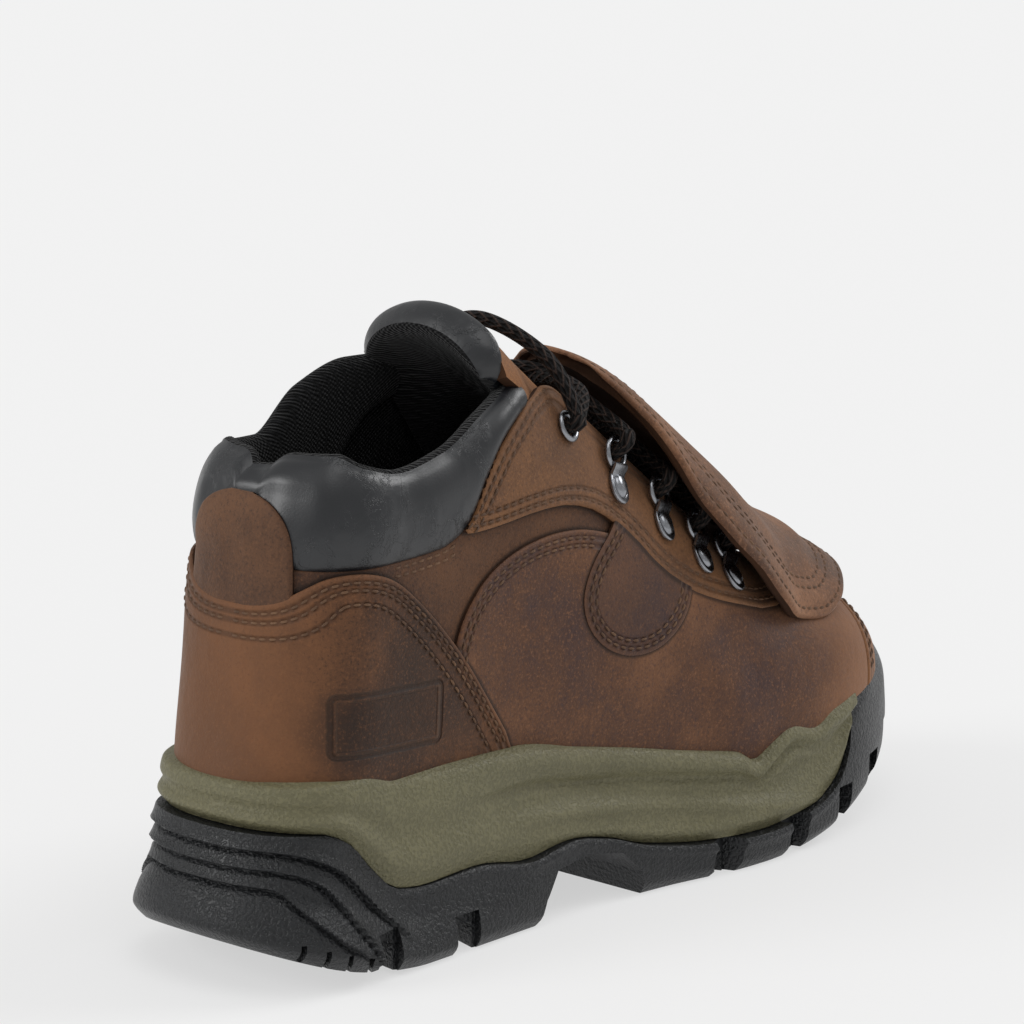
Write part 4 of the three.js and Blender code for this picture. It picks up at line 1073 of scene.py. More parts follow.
class Leather:
    """The upper and its overlays, all cut from one skin."""

    STATIONS = 230
    ARCH = 105

    def __init__(self, palette: Palette) -> None:
        """Work out the skin.

        Args:
            palette: The boot's finishes.
        """
        self.palette = palette
        self.skin = self._skin()
        self.side_view = self.skin.points[:, [0, 2]]

    def _skin(self) -> Sheet:
        """Return the upper's outside as a fine sheet, even along each arch."""
        first, last = UPPER_BACK / LENGTH, 1 - UPPER_FRONT / LENGTH
        rows = []
        for i in range(self.STATIONS + 1):
            share = first + (last - first) * (1 - math.cos(math.pi * i / self.STATIONS)) / 2
            under, widest, top = (float(FORM.row(name, share)) for name in ("under", "widest", "top"))
            n = float(FORM.sections.read("square", share))
            t = np.linspace(0, 1, 400)
            arch = widest + (top - widest) * np.sin(t * math.pi / 2) ** (2 / n)
            z = np.concatenate([np.linspace(under, widest, 60)[:-1], arch])
            halves = [resample(FORM.skin(share, z, side), self.ARCH) for side in SIDES]
            rows.append(np.vstack([halves[0], halves[1][::-1][1:]]))
        points = np.vstack(rows)
        faces = triangles(grid_faces(self.STATIONS + 1, 2 * self.ARCH - 1)[:, ::-1])
        return Sheet(points, point_normals(points, faces), faces)

    def distances(self, points: np.ndarray) -> dict[str, np.ndarray]:
        """Return each region's signed distance at points of the skin, positive inside.

        Args:
            points: Points of the skin.

        Returns:
            Distances by the region's name, in millimetres.
        """
        side = points[:, [0, 2]]
        x, y, z = points.T
        share = x / LENGTH
        far = 400.0
        front = [[0.79 * LENGTH, 150], [0.79 * LENGTH, 80]]
        eyestay = rounded(np.vstack([EYESTAY_BACK[::-1], front, EYESTAY_LOW[:0:-1]]), 1)
        counter = np.vstack([[[-40, COUNTER_LINE[0, 1]]], rounded(COUNTER_LINE, closed=False), [[-40, 20]]])
        vamp = np.vstack([rounded(VAMP_LINE, closed=False), [[far, 220], [far, 10]]])
        toe = np.vstack([TOE_LINE, [[far, 100], [far, 20]]])
        slot_end = (0.7 - 0.06) * LENGTH
        beyond = np.maximum(x - slot_end, 0)
        throat = THROAT_HALF - np.hypot(y, np.where(x > slot_end, beyond * THROAT_HALF / (0.06 * LENGTH), 0))
        throat = np.where((x > 0.3 * LENGTH) & (z > 0.42 * BOOT_HEIGHT), throat, -20)
        collar = np.where(share < 0.47, COLLAR_LOW.read("z", share) - z, 20.0)
        return {
            "eyestay": across_distance(side, eyestay),
            "counter": across_distance(side, counter),
            "vamp": across_distance(side, vamp),
            "patch": across_distance(side, rounded(PATCH_LINE)),
            "toe": across_distance(side, toe),
            "throat": throat,
            "collar": collar,
            "rim": z - FORM.rim_line.read("z", share) + 3.0,
        }

    def panel(
        self,
        name: str,
        node: str,
        inside: Callable,
        base: float,
        thick: float,
        finish: bpy.types.Material,
        covers: Callable | None = None,
        sewn: Callable | None = None,
        lined: bool = False,
    ) -> bpy.types.Object:
        """Make one panel, with rounded edges and a cut side.

        Args:
            name: The piece's name.
            node: The CAD node that it stands for.
            inside: The panel's signed distance, from the regions' distances and the points.
            base: How far its underside is off the skin.
            thick: Its thickness.
            finish: Its leather.
            covers: Signed distance of the panels that lie on it, for the painted shade along their edges.
            sewn: Signed distance to the edge that is sewn, where the panel has another edge too.
            lined: Whether it has an inner face, for the upper itself.

        Returns:
            The piece.
        """
        round_off = 1.1
        sheet = self.skin
        value = inside(self.distances(sheet.points), sheet.points)
        near = (value[sheet.faces] > -6).any(axis=1)
        sheet = sheet.keep(near)
        for level in (0.0, 0.12, 0.35, 0.7, round_off):
            value = inside(self.distances(sheet.points), sheet.points)
            sheet, value = sheet.split(value, level)
            if level == 0.0:
                sheet = sheet.keep(value[sheet.faces].mean(axis=1) > 0)
        distances = self.distances(sheet.points)
        value = np.maximum(inside(distances, sheet.points), 0)
        cover = -covers(distances, sheet.points) if covers else np.full(len(value), 40.0)
        own = sewn(distances, sheet.points) if sewn else value
        flow = np.stack([np.clip(own, 0, 40), np.clip(cover, -10, 40)], axis=1)
        t = np.clip(value / round_off, 0, 1)
        crown = 0.5 + 0.5 * np.sqrt(1 - (1 - t) ** 2)
        relief = self.relief(sheet.points)
        top = sheet.points + sheet.normals * (base + thick * crown + relief)[:, None]
        part = Part()
        part.add(top, sheet.faces, 0, flow)
        low_by = relief * 0 + base if lined else relief + base - 0.5
        low = sheet.points + sheet.normals * low_by[:, None]
        used, index = np.unique(sheet.border(), return_inverse=True)
        index = index.reshape(-1, 2)
        count = len(used)
        wall = np.vstack([top[used], low[used]])
        quads = np.stack([index[:, 1], index[:, 0], index[:, 0] + count, index[:, 1] + count], axis=1)
        part.add(wall, quads, 1)
        if lined:
            part.add(low, sheet.faces[:, ::-1], 2)
        piece = part.build(name, Slot.LEATHER, [finish, self.palette.edge, self.palette.knit], angle=55)
        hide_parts(node)
        return piece

    def relief(self, points: np.ndarray) -> np.ndarray:
        """Return the soft folds and hollows of the leather, in millimetres outward."""
        x, y, z = points.T
        bend = np.exp(-(((x - 196) / 22) ** 2)) * np.exp(-(((z - 66) / 26) ** 2))
        folds = 0.45 * np.sin(x * 0.21 + z * 0.12 + 0.6 * np.sin(z * 0.09)) * bend
        hollow = -0.7 * np.exp(-(((x - 100) / 26) ** 2) - ((z - 88) / 16) ** 2)
        calm = 0.18 * np.sin(x * 0.071 + 1.3) * np.sin(z * 0.09 + y * 0.03)
        return folds + hollow + calm

    def make(self) -> list[bpy.types.Object]:
        """Make the upper and every overlay."""
        p = self.palette
        under = GAP * 0.3

        def eyestay(d: dict, q: np.ndarray) -> np.ndarray:
            """Return how far points are inside the eyestay."""
            return corner(np.minimum(d["eyestay"], d["collar"]), -d["throat"], 5.0)

        def vamp(d: dict, q: np.ndarray) -> np.ndarray:
            """Return how far points are inside the vamp."""
            return np.minimum(d["vamp"], -d["toe"])

        def over_quarters(d: dict, q: np.ndarray) -> np.ndarray:
            """Return how far points are inside the panels over the quarters."""
            return np.maximum.reduce([eyestay(d, q), d["counter"], vamp(d, q)])

        def over_vamp(d: dict, q: np.ndarray) -> np.ndarray:
            """Return how far points are inside the panels over the vamp."""
            return np.maximum.reduce([eyestay(d, q), d["counter"], d["patch"], d["toe"]])

        made = [
            self.panel(
                "quarters", "upper", lambda d, q: corner(d["collar"], -d["throat"], 5.0) - 0.6,
                -WALL, WALL, p.quarter, over_quarters, lined=True,
            ),
            self.panel(
                "vamp_panel", "vamp",
                lambda d, q: np.minimum.reduce(
                    [vamp(d, q), 6 - d["counter"], 6 - d["eyestay"], d["rim"], -d["throat"], d["collar"]]
                ),
                under, PANEL, p.vamp, over_vamp, lambda d, q: d["vamp"],
            ),
            self.panel(
                "toe_cap_panel", "toe_cap",
                lambda d, q: np.minimum(d["toe"], d["rim"]),
                under, CAP, p.toe, None, lambda d, q: d["toe"],
            ),
            self.panel(
                "counter_panel", "heel_counter",
                lambda d, q: np.minimum.reduce([d["counter"], d["rim"], d["collar"] + 1]),
                under, PANEL + 0.6, p.counter, None, lambda d, q: d["counter"],
            ),
        ]
        for label, side in (("lateral", -1), ("medial", 1)):
            made.append(
                self.panel(
                    f"eyestay_panel_{label}", f"eyestay_{label}",
                    lambda d, q, side=side: np.minimum(eyestay(d, q), q[:, 1] * side - 0.15),
                    under, EYESTAY, p.eyestay,
                )
            )
            made.append(
                self.panel(
                    f"patch_panel_{label}", f"side_patch_{label}",
                    lambda d, q, side=side: np.minimum.reduce([d["patch"], 3 - d["eyestay"], q[:, 1] * side]),
                    under + PANEL, PANEL * 0.3, p.patch, eyestay, lambda d, q: d["patch"],
                )
            )
        return made


# Stitching


@dataclass
class Thread:
    """Stitches along lines of the side view or through points in space."""

    length: float = 2.5
    gap: float = 0.75
    radius: float = 0.34
    part: Part = field(default_factory=Part)

    def run(self, line: np.ndarray, normals: np.ndarray) -> None:
        """Sew along a line in space.

        Args:
            line: Points of the line.
            normals: The surface's normals there.
        """
        step = np.linalg.norm(np.diff(line, axis=0), axis=1)
        length = np.concatenate([[0], np.cumsum(step)])
        pitch = self.length + self.gap
        count = int(length[-1] // pitch)
        if count < 1:
            return
        starts = (np.arange(count) + 0.2) * pitch
        rings, around = 6, 6
        t = np.linspace(0, 1, rings)
        turn = np.arange(around) * 2 * math.pi / around
        for start in starts:
            at = start + t * self.length
            here = np.stack([np.interp(at, length, line[:, k]) for k in range(3)], axis=1)
            up = unit(np.stack([np.interp(at, length, normals[:, k]) for k in range(3)], axis=1))
            along = unit(np.gradient(here, axis=0))
            across = unit(np.cross(along, up))
            swell = np.sqrt(np.clip(1 - (2 * t - 1) ** 4, 0.02, 1)) * self.radius
            lift = 0.22 * np.sin(t * math.pi) - 0.12
            middle = here + up * lift[:, None]
            ring = (
                middle[:, None]
                + across[:, None] * (np.cos(turn)[None, :, None] * swell[:, None, None] * 1.15)
                + up[:, None] * (np.sin(turn)[None, :, None] * swell[:, None, None])
            )
            self.part.add(ring.reshape(-1, 3), grid_faces(rings, around, True))

    def side(
        self, outline: np.ndarray, inset: float, side: int, out: float, clip: Callable | None = None
    ) -> None:
        """Sew along a line of the side view.

        Args:
            outline: Points (x, z) of the panel's edge.
            inset: How far to the right of the line's direction the stitches run.
            side: Which side of the boot.
            out: Height off the skin.
            clip: Says which points (x, z) are sewn.
        """
        line = rounded(outline, 2, closed=False)
        line = resample(line, max(int(np.linalg.norm(np.diff(line, axis=0), axis=1).sum() / 0.5), 8))
        tangent = unit(np.gradient(line, axis=0))
        line = line + np.stack([tangent[:, 1], -tangent[:, 0]], axis=1) * inset
        if clip is not None:
            line = line[clip(line)]
        share = line[:, 0] / LENGTH
        for _ in range(4):
            share = (line[:, 0] - FORM.lean(share, line[:, 1])) / LENGTH
        kept = share > UPPER_BACK / LENGTH + 0.0005
        share, z = share[kept], line[kept, 1]
        if len(z) < 4:
            return
        if share[0] < UPPER_BACK / LENGTH + 0.006:
            back = UPPER_BACK / LENGTH + 0.00002
            steps = np.linspace(0, 1, 12, endpoint=False) ** 2
            share = np.concatenate([back + (share[0] - back) * steps, share])
            z = np.concatenate([np.full(12, z[0]), z])
        points = FORM.skin_out(share, z, side, out)
        self.run(points, FORM.normal(share, z, np.full(len(z), side)))


def stitch_leather(palette: Palette) -> bpy.types.Object:
    """Sew the leather panels.

    Args:
        palette: The boot's finishes.

    Returns:
        The joined stitches.
    """
    thread = Thread()
    over = GAP * 0.3

    def above_rim(line: np.ndarray) -> np.ndarray:
        """Say which points of the side view lie above the rim and below the crest."""
        share = line[:, 0] / LENGTH
        return (line[:, 1] > FORM.rim_line.read("z", share) + 1) & (line[:, 1] < FORM.row("top", share) - 3)

    low_at = np.linspace(0.175, 0.262, 12)
    below_collar = np.column_stack([low_at * LENGTH, COLLAR_LOW.read("z", low_at)])
    patch_edge = np.vstack([PATCH_LINE[2:], PATCH_LINE[:1]])
    for side in SIDES:
        for inset in EYESTAY_ROWS:
            thread.side(
                EYESTAY_LOW[2:], -inset, side, over + EYESTAY, lambda line: line[:, 0] < 0.72 * LENGTH
            )
            thread.side(EYESTAY_BACK, -inset, side, over + EYESTAY, lambda line: line[:, 0] < 0.415 * LENGTH)
        for inset in COUNTER_ROWS:
            thread.side(COUNTER_LINE, inset, side, over + PANEL + 0.6, above_rim)
        for inset in SEAM_ROWS:
            thread.side(
                VAMP_LINE, inset, side, over + PANEL,
                lambda line: (line[:, 0] > 0.262 * LENGTH) & (line[:, 0] < 0.455 * LENGTH),
            )
            thread.side(patch_edge, -inset, side, over + PANEL * 1.4, under_eyestay)
            thread.side(TOE_LINE, inset, side, over + CAP, above_rim)
        thread.side(below_collar, 2.4, side, 0)
        thread.side(below_collar, 4.8, side, 0)
    return thread.part.build("panel_stitches", Slot.LEATHER, [palette.thread])


def under_eyestay(line: np.ndarray) -> np.ndarray:
    """Say which points of the side view lie below the eyestay's lower edge."""
    return line[:, 1] < np.interp(line[:, 0], EYESTAY_LOW[:, 0], EYESTAY_LOW[:, 1]) - 1


# Padding


@dataclass
class Collar:
    """The padded collar: black coated fabric outside, knit rolled over its top."""

    STEPS: int = 110
    ROUND: int = 56
    FRONT: float = 0.368
    top: Table = field(
        default_factory=lambda: Table(
            "lateral medial",
            (0.0, COLLAR_BACK, COLLAR_BACK),
            (0.08, COLLAR_BACK + 1, COLLAR_BACK),
            (0.13, COLLAR_BACK - 3, COLLAR_BACK - 3),
            (0.19, COLLAR_BACK - 6, COLLAR_BACK - 4),
            (0.25, COLLAR_BACK - 3, COLLAR_BACK + 9),
            (0.31, COLLAR_BACK + 5, COLLAR_BACK + 15),
            (0.36, COLLAR_BACK + 11, COLLAR_BACK + 15),
        )
    )
    section: tuple[tuple[float, float], ...] = (
        (0.3, 0.0), (0.07, 0.18), (0.0, 0.42), (0.08, 0.72), (0.34, 0.95), (0.64, 1.0), (0.93, 0.84),
        (1.0, 0.4), (0.85, 0.0),
    )

    def make(self, palette: Palette) -> bpy.types.Object:
        """Make the collar.

        Args:
            palette: The boot's finishes.

        Returns:
            The piece.
        """
        ring = catmull(np.array(self.section), self.ROUND, closed=True)[:-1]
        count = len(ring)
        start = int(np.argmin(ring[:, 1] + ring[:, 0] * 0.1))
        ring = np.roll(ring, -start, axis=0)
        back = UPPER_BACK / LENGTH
        i = np.arange(-self.STEPS, self.STEPS + 1)
        side = np.where(i < 0, -1.0, 1.0)
        turn = np.abs(i) / self.STEPS * math.pi / 2
        share = back + 0.0008 + (self.FRONT - back) * (1 - np.cos(turn))
        low = COLLAR_LOW.read("z", share) + GAP
        high = self.top.sided(side, share)
        wrapped = i / self.STEPS * 100.0
        notch = 3.5 * np.exp(-((wrapped / 5.5) ** 2))
        up = ring[None, :, 1]
        z = (low - 1.5)[:, None] + (high - notch - low + 1.5)[:, None] * up
        bulge = 0.35 * np.sin(wrapped * 0.33)[:, None] * np.sin(up * math.pi)
        inward = ring[None, :, 0]
        swollen = 0.8 * np.exp(-(((wrapped - 46) / 18) ** 2))[:, None] * (1 - inward)
        pinched = 0.9 * np.exp(-(((wrapped + 62) / 9) ** 2))[:, None] * (1 - inward)
        puff = swollen - pinched
        press = 1.5 * np.exp(-((wrapped / 24) ** 4))[:, None] * (1 - inward) * smoothstep(0.75, 0.62, up)
        out = COLLAR_OUT - COLLAR_THICK * inward + bulge * 0.6 + puff * 0.6 - press
        share_grid = np.broadcast_to(share[:, None], z.shape)
        side_grid = np.broadcast_to(side[:, None], z.shape)
        points = FORM.skin_out(share_grid, z, side_grid, out)
        lining = (ring[:, 0] > 0.34) & (ring[:, 1] > 0.05) | (ring[:, 0] > 0.8)
        seam = np.exp(-(((ring[:, 0] - 0.32) / 0.05) ** 2)) * (ring[:, 1] > 0.6)
        points = points - FORM.normal(share_grid, z, side_grid) * (0.5 * seam)[None, :, None]
        quads = grid_faces(len(i), count, closed=True)
        column = np.tile(np.arange(count), len(i) - 1)
        finish = np.where(lining[column] & lining[(column + 1) % count], 1, 0)
        part = Part()
        part.add(points.reshape(-1, 3), quads, finish)
        for row in (0, len(i) - 1):
            cap = points[row]
            middle = cap.mean(axis=0)
            fan = np.vstack([cap, middle])
            k = np.arange(count)
            tri = np.stack([k, (k + 1) % count, np.full(count, count)], axis=1)
            part.add(fan, tri if row else tri[:, ::-1])
        piece = part.build("collar_padding", Slot.COLLAR, [palette.synthetic, palette.knit], angle=60)
        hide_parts("collar")
        return piece


def blanket(
    nu: int, nv: int, point_at: Callable, out_at: Callable, in_at: Callable
) -> tuple[Part, np.ndarray, np.ndarray]:
    """Make a padded sheet over a grid of points.

    Args:
        nu: Steps along.
        nv: Steps across.
        point_at: Points of the sheet, from two arrays of shares.
        out_at: Thickness to the outside.
        in_at: Thickness to the inside.

    Returns:
        The part with its two faces and border, the outer points and their normals.
    """
    u = (1 - np.cos(np.linspace(0, math.pi, nu + 1))) / 2
    v = (1 - np.cos(np.linspace(0, math.pi, nv + 1))) / 2
    u, v = np.meshgrid(u, v, indexing="ij")
    along = point_at(np.clip(u + 0.01, 0, 1), v) - point_at(np.clip(u - 0.01, 0, 1), v)
    across = point_at(u, np.clip(v + 0.01, 0, 1)) - point_at(u, np.clip(v - 0.01, 0, 1))
    normal = unit(np.cross(along, across))
    here = point_at(u, v)
    top = here + normal * out_at(u, v)[..., None]
    low = here - normal * in_at(u, v)[..., None]
    part = Part()
    quads = grid_faces(nu + 1, nv + 1)
    part.add(top.reshape(-1, 3), quads[:, ::-1], 0)
    part.add(low.reshape(-1, 3), quads, 1)
    edge = [(k, 0) for k in range(nu)] + [(nu, k) for k in range(nv)]
    edge += [(nu - k, nv) for k in range(nu)] + [(0, nv - k) for k in range(nv)]
    rows, columns = np.array(edge).T
    count = len(edge)
    border = np.vstack([top[rows, columns], low[rows, columns]])
    k = np.arange(count)
    n = (k + 1) % count
    part.add(border, np.stack([k, n, n + count, k + count], axis=1), 2)
    return part, top, normal


@dataclass
class Tongue:
    """The tongue: a leather face with a black padded rim rolled round it."""

    TOP: float = 0.34
    FOOT: float = 0.66
    DROP: float = 25.0
    DEEP: float = WALL + GAP + 0.6

    def point(self, start: float, half: float) -> Callable:
        """Return the sheet's points under the arch of the instep.

        Args:
            start: The place along the boot where the sheet's top lies.
            half: Half the sheet's width there.

        Returns:
            A function from shares along and across the sheet to points.
        """

        def at(u: np.ndarray, v: np.ndarray) -> np.ndarray:
            """Return points of the sheet, from shares along and across."""
            share = start + (self.FOOT - start) * u
            across = 2 * v - 1
            y = across * half * (1 - 0.22 * u)
            drop = self.DROP * (1 - np.sqrt(1 - 0.94 * across * across))
            round_top = FORM.dome(share, np.zeros_like(y)) - drop
            low = np.clip((share - 0.38) / 0.05, 0, 1)
            z = round_top * (1 - low) + FORM.dome(share, y) * low
            return np.stack([share * LENGTH, y, z], axis=-1)

        return at

    def make(self, palette: Palette) -> list[bpy.types.Object]:
        """Make the tongue's leather and its padding.

        Args:
            palette: The boot's finishes.

        Returns:
            The pieces.
        """
        leather, *_ = blanket(
            70, 40, self.point(self.TOP + 0.01, TONGUE_HALF - 0.8),
            lambda u, v: np.full_like(u, -self.DEEP + 0.3),
            lambda u, v: np.full_like(u, self.DEEP + TONGUE_THICK),
        )
        face = leather.build("tongue_leather", Slot.LEATHER, [palette.tongue, palette.knit, palette.edge])
        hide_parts("tongue")
        seat = self.DEEP + TONGUE_THICK + 4 * GAP
        middle = seat + TONGUE_PAD / 2

        def roll(v: np.ndarray) -> np.ndarray:
            """Return how full the padding is towards its sides."""
            return np.sqrt(1 - (1 - np.clip((1 - np.abs(2 * v - 1)) / 0.3, 0, 1)) ** 2)

        def end(u: np.ndarray) -> np.ndarray:
            """Return how full the padding is towards its top."""
            return np.sqrt(1 - (1 - np.clip(u / 0.05, 0, 1)) ** 2)

        def rim_top(u: np.ndarray) -> np.ndarray:
            """Return how far the padding stands out past the leather's top."""
            return (seat - 0.5) * (1 - smoothstep(0.035, 0.05, u))

        padding, *_ = blanket(
            90, 48, self.point(self.TOP, TONGUE_HALF),
            lambda u, v: -middle + (TONGUE_PAD / 2 + rim_top(u)) * end(u) * (0.25 + 0.75 * roll(v)),
            lambda u, v: middle + (TONGUE_PAD / 2) * end(u) * (0.25 + 0.75 * roll(v)),
        )
        pad = padding.build("tongue_padding", Slot.COLLAR, [palette.synthetic, palette.knit, palette.knit])
        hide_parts("tongue_pad")
        return [face, pad]


@dataclass
class Guard:
    """The padded flap over laces and instep, stitched round its free edge."""

    NU: int = 150
    NV: int = 90
    table: Table = field(
        default_factory=lambda: Table(
            "x half edge crest",
            (0, 0.503, 0.25, 161, 164),
            (1, 0.508, 0.42, 159, 163.5),
            (2, 0.517, 0.56, 154, 162.5),
            (3, 0.53, 0.7, 147.5, 160.5),
            (4, 0.547, 0.82, 140, 157),
            (5, 0.566, 0.92, 130, 152.5),
            (6, 0.59, 1.02, 116, 146),
            (7, 0.62, 1.13, 104.5, 137.5),
            (8, 0.66, 1.18, 93, 127.5),
            (9, 0.7, 1.16, 81, 118),
            (10, 0.742, 1.08, 72.5, 109),
            (11, 0.783, 1.07, 70.5, 101),
            (12, 0.818, 1.02, 73, 96),
            (13, 0.845, 0.9, 77.5, 91.5),
            (14, 0.866, 0.7, 81, 87.5),
            (15, 0.877, 0.42, 82.5, 85),
        )
    )

    def point(self, u: np.ndarray, v: np.ndarray) -> np.ndarray:
        """Return points of the flap's outside."""
        at = np.asarray(u) * 15
        across = 2 * np.asarray(v) - 1
        x, half, edge, crest = (self.table.read(name, at) for name in ("x", "half", "edge", "crest"))
        z = edge + (crest - edge) * (1 - across * across) ** 0.67
        narrow = np.where(across > 0, 1 - 0.4 * (1 - smoothstep(0.5, 5.0, at)), 1.0)
        return np.stack([x * LENGTH, FORM.swing(x) + across * half * GUARD_HALF * narrow, z], axis=-1)

    def edge_distance(self, points: np.ndarray) -> np.ndarray:
        """Return how far points of the flap are from its free edge, in millimetres.

        Args:
            points: Points of the flap.

        Returns:
            Distances in millimetres.
        """
        u = np.linspace(1, 0, 160)
        v = np.linspace(0, 1, 24)
        outline = np.vstack([
            self.point(u, np.zeros_like(u)),
            self.point(np.zeros_like(v), v),
            self.point(u[::-1], np.ones_like(u)),
            self.point(np.ones_like(v), v[::-1]),
        ])
        flat = points.reshape(-1, 3)
        best = np.full(len(flat), 1e9)
        for a, b in zip(outline[:-1], outline[1:]):
            d = b - a
            span = max(float(d @ d), 1e-9)
            t = np.clip(((flat - a) @ d) / span, 0, 1)
            best = np.minimum(best, np.linalg.norm(flat - a - t[:, None] * d, axis=1))
        return best.reshape(points.shape[:-1])

    def make(self, palette: Palette) -> list[bpy.types.Object]:
        """Make the flap and its stitches.

        Args:
            palette: The boot's finishes.

        Returns:
            The pieces.
        """
        u = (1 - np.cos(np.linspace(0, math.pi, self.NU + 1))) / 2
        v = (1 - np.cos(np.linspace(0, math.pi, self.NV + 1))) / 2
        ug, vg = np.meshgrid(u, v, indexing="ij")
        inner = self.edge_distance(self.point(ug, vg))
        rounding = 1.4 * (1 - np.sqrt(1 - (1 - np.clip(inner / 1.4, 0, 1)) ** 2))
        groove = sum(0.3 * np.exp(-(((inner - at) / 0.7) ** 2)) for at in GUARD_ROWS)
        crown = 1.6 * smoothstep(13.0, 22.0, inner) + 0.35 * smoothstep(3.0, 9.0, inner)
        top = crown - rounding - groove
        sewn = np.clip((ug - 0.86) / 0.08, 0, 1) * np.clip((1 - np.abs(2 * vg - 1)) / 0.4, 0, 1)
        thick = GUARD_THICK + 3.5 * sewn
        part, outer, normal = blanket(
            self.NU, self.NV, self.point, lambda a, b: top, lambda a, b: thick - rounding,
        )
        flap = part.build("guard_flap", Slot.LEATHER, [palette.guard, palette.edge, palette.edge], angle=65)
        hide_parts("met_guard")
        thread = Thread(length=2.7, gap=0.8, radius=0.4)
        for at in GUARD_ROWS:
            for half in (slice(0, self.NV // 2 + 1), slice(self.NV, self.NV // 2 - 1, -1)):
                line, up = [], []
                for k in range(self.NU + 1):
                    row = inner[k, half]
                    if row.max() <= at:
                        continue
                    j = int(np.argmax(row > at))
                    if j == 0:
                        continue
                    t = (at - row[j - 1]) / (row[j] - row[j - 1])
                    line.append(outer[k, half][j - 1] * (1 - t) + outer[k, half][j] * t)
                    up.append(normal[k, half][j])
                if len(line) > 4:
                    thread.run(np.array(line), np.array(up))
        seams = thread.part.build("guard_stitches", Slot.LEATHER, [palette.thread])
        return [flap, seams]


@dataclass
class HeelTab:
    """The leather tab up the back of the heel, over the collar."""

    HALF: float = 20.0
    LOW: float = 105.0
    HIGH: float = 139.0

    def make(self, palette: Palette) -> bpy.types.Object:
        """Make the tab.

        Args:
            palette: The boot's finishes.

        Returns:
            The piece.
        """
        nu, nv = 60, 60
        t, s = np.meshgrid(np.linspace(0, 1, nu + 1), np.linspace(-1, 1, nv + 1), indexing="ij")
        t = np.sin(t * math.pi / 2)
        z = self.LOW - 2 + (self.HIGH - self.LOW + 2) * t
        wide = self.HALF * (1 - 0.12 * t) * (1 - np.clip((t - 0.52) / 0.48, 0, 1) ** 2.6) ** (1 / 2.2)
        y = s * np.maximum(wide, 0.2)
        side = np.where(y < 0, -1.0, 1.0)
        low, high = np.full(y.shape, UPPER_BACK / LENGTH), np.full(y.shape, 0.3)
        for _ in range(26):
            middle = (low + high) / 2
            over = FORM.half(middle, z, side) >= np.abs(y)
            high, low = np.where(over, middle, high), np.where(over, low, middle)
        share = np.maximum((low + high) / 2, UPPER_BACK / LENGTH + 0.0008)
        up = np.clip((z - 121) / (COLLAR_BACK - 121), 0, 1)
        bulge = np.interp(up, (0, 0.18, 0.42, 1), (0, 1.0, 1.7, 1.2))
        inner = np.minimum((1 - np.abs(s)) * wide, (1 - t) * 34)
        crown = 0.45 + 0.55 * np.sqrt(1 - (1 - np.clip(inner / 1.1, 0, 1)) ** 2)
        outside = FORM.skin_out(share, z, side, bulge + 0.4 + PANEL * crown)
        inside = FORM.skin_out(share, z, side, bulge - 0.2)
        part = Part()
        quads = grid_faces(nu + 1, nv + 1)
        part.add(outside.reshape(-1, 3), quads, 0)
        part.add(inside.reshape(-1, 3), quads[:, ::-1], 0)
        for column in (0, nv):
            wall = np.vstack([outside[:, column], inside[:, column]])
            k = np.arange(nu)
            face = np.stack([k, k + 1, k + nu + 2, k + nu + 1], axis=1)
            part.add(wall, face if column == 0 else face[:, ::-1], 1)
        piece = part.build("heel_tab_leather", Slot.LEATHER, [palette.tab, palette.edge])
        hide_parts("heel_tab")
        return piece


# Sole


def prism(outline: np.ndarray, low: float, high: float, upright: bool) -> Part:
    """Return a solid with a flat outline, carried across the boot or upward.

    Args:
        outline: Corners of the outline, in (x, z) or (x, y).
        low: Where it starts.
        high: Where it ends.
        upright: Whether it is carried upward.

    Returns:
        The part.
    """
    count = len(outline)
    ends = []
    for at in (low, high):
        side = np.full(count, at)
        columns = [outline[:, 0], outline[:, 1], side] if upright else [outline[:, 0], side, outline[:, 1]]
        ends.append(np.stack(columns, axis=1))
    area = np.sum(outline[:, 0] * np.roll(outline[:, 1], -1) - np.roll(outline[:, 0], -1) * outline[:, 1])
    turned = (area > 0) == upright
    part = Part()
    part.points.append(np.vstack(ends))
    part.flow.append(np.zeros((2 * count, 2)))
    part.count = 2 * count
    first, second = list(range(count)), list(range(count, 2 * count))
    walls = [[k, (k + 1) % count, (k + 1) % count + count, k + count] for k in range(count)]
    faces = [first[::-1], second, *walls]
    part.faces = faces if turned else [face[::-1] for face in faces]
    part.finishes = [0] * len(faces)
    return part


def cutter(part: Part, name: str) -> bpy.types.Object:
    """Return a hidden object that a sole is cut with."""
    mesh = bpy.data.meshes.new(name)
    mesh.from_pydata(((np.vstack(part.points) - ORIGIN) * MM).tolist(), [], part.faces)
    made = bpy.data.objects.new(name, mesh)
    bpy.context.scene.collection.objects.link(made)
    return made


def cut_away(piece: bpy.types.Object, cutters: list[bpy.types.Object]) -> None:
    """Cut solids out of a piece and remove them.

    Args:
        piece: The piece.
        cutters: The solids.
    """
    for solid in cutters:
        modifier = piece.modifiers.new(solid.name, "BOOLEAN")
        modifier.operation, modifier.object, modifier.solver = "DIFFERENCE", solid, "MANIFOLD"
    graph = bpy.context.evaluated_depsgraph_get()
    made = bpy.data.meshes.new_from_object(piece.evaluated_get(graph))
    piece.modifiers.clear()
    piece.data = made
    for solid in cutters:
        bpy.data.objects.remove(solid)
    made.set_sharp_from_angle(angle=math.radians(34))


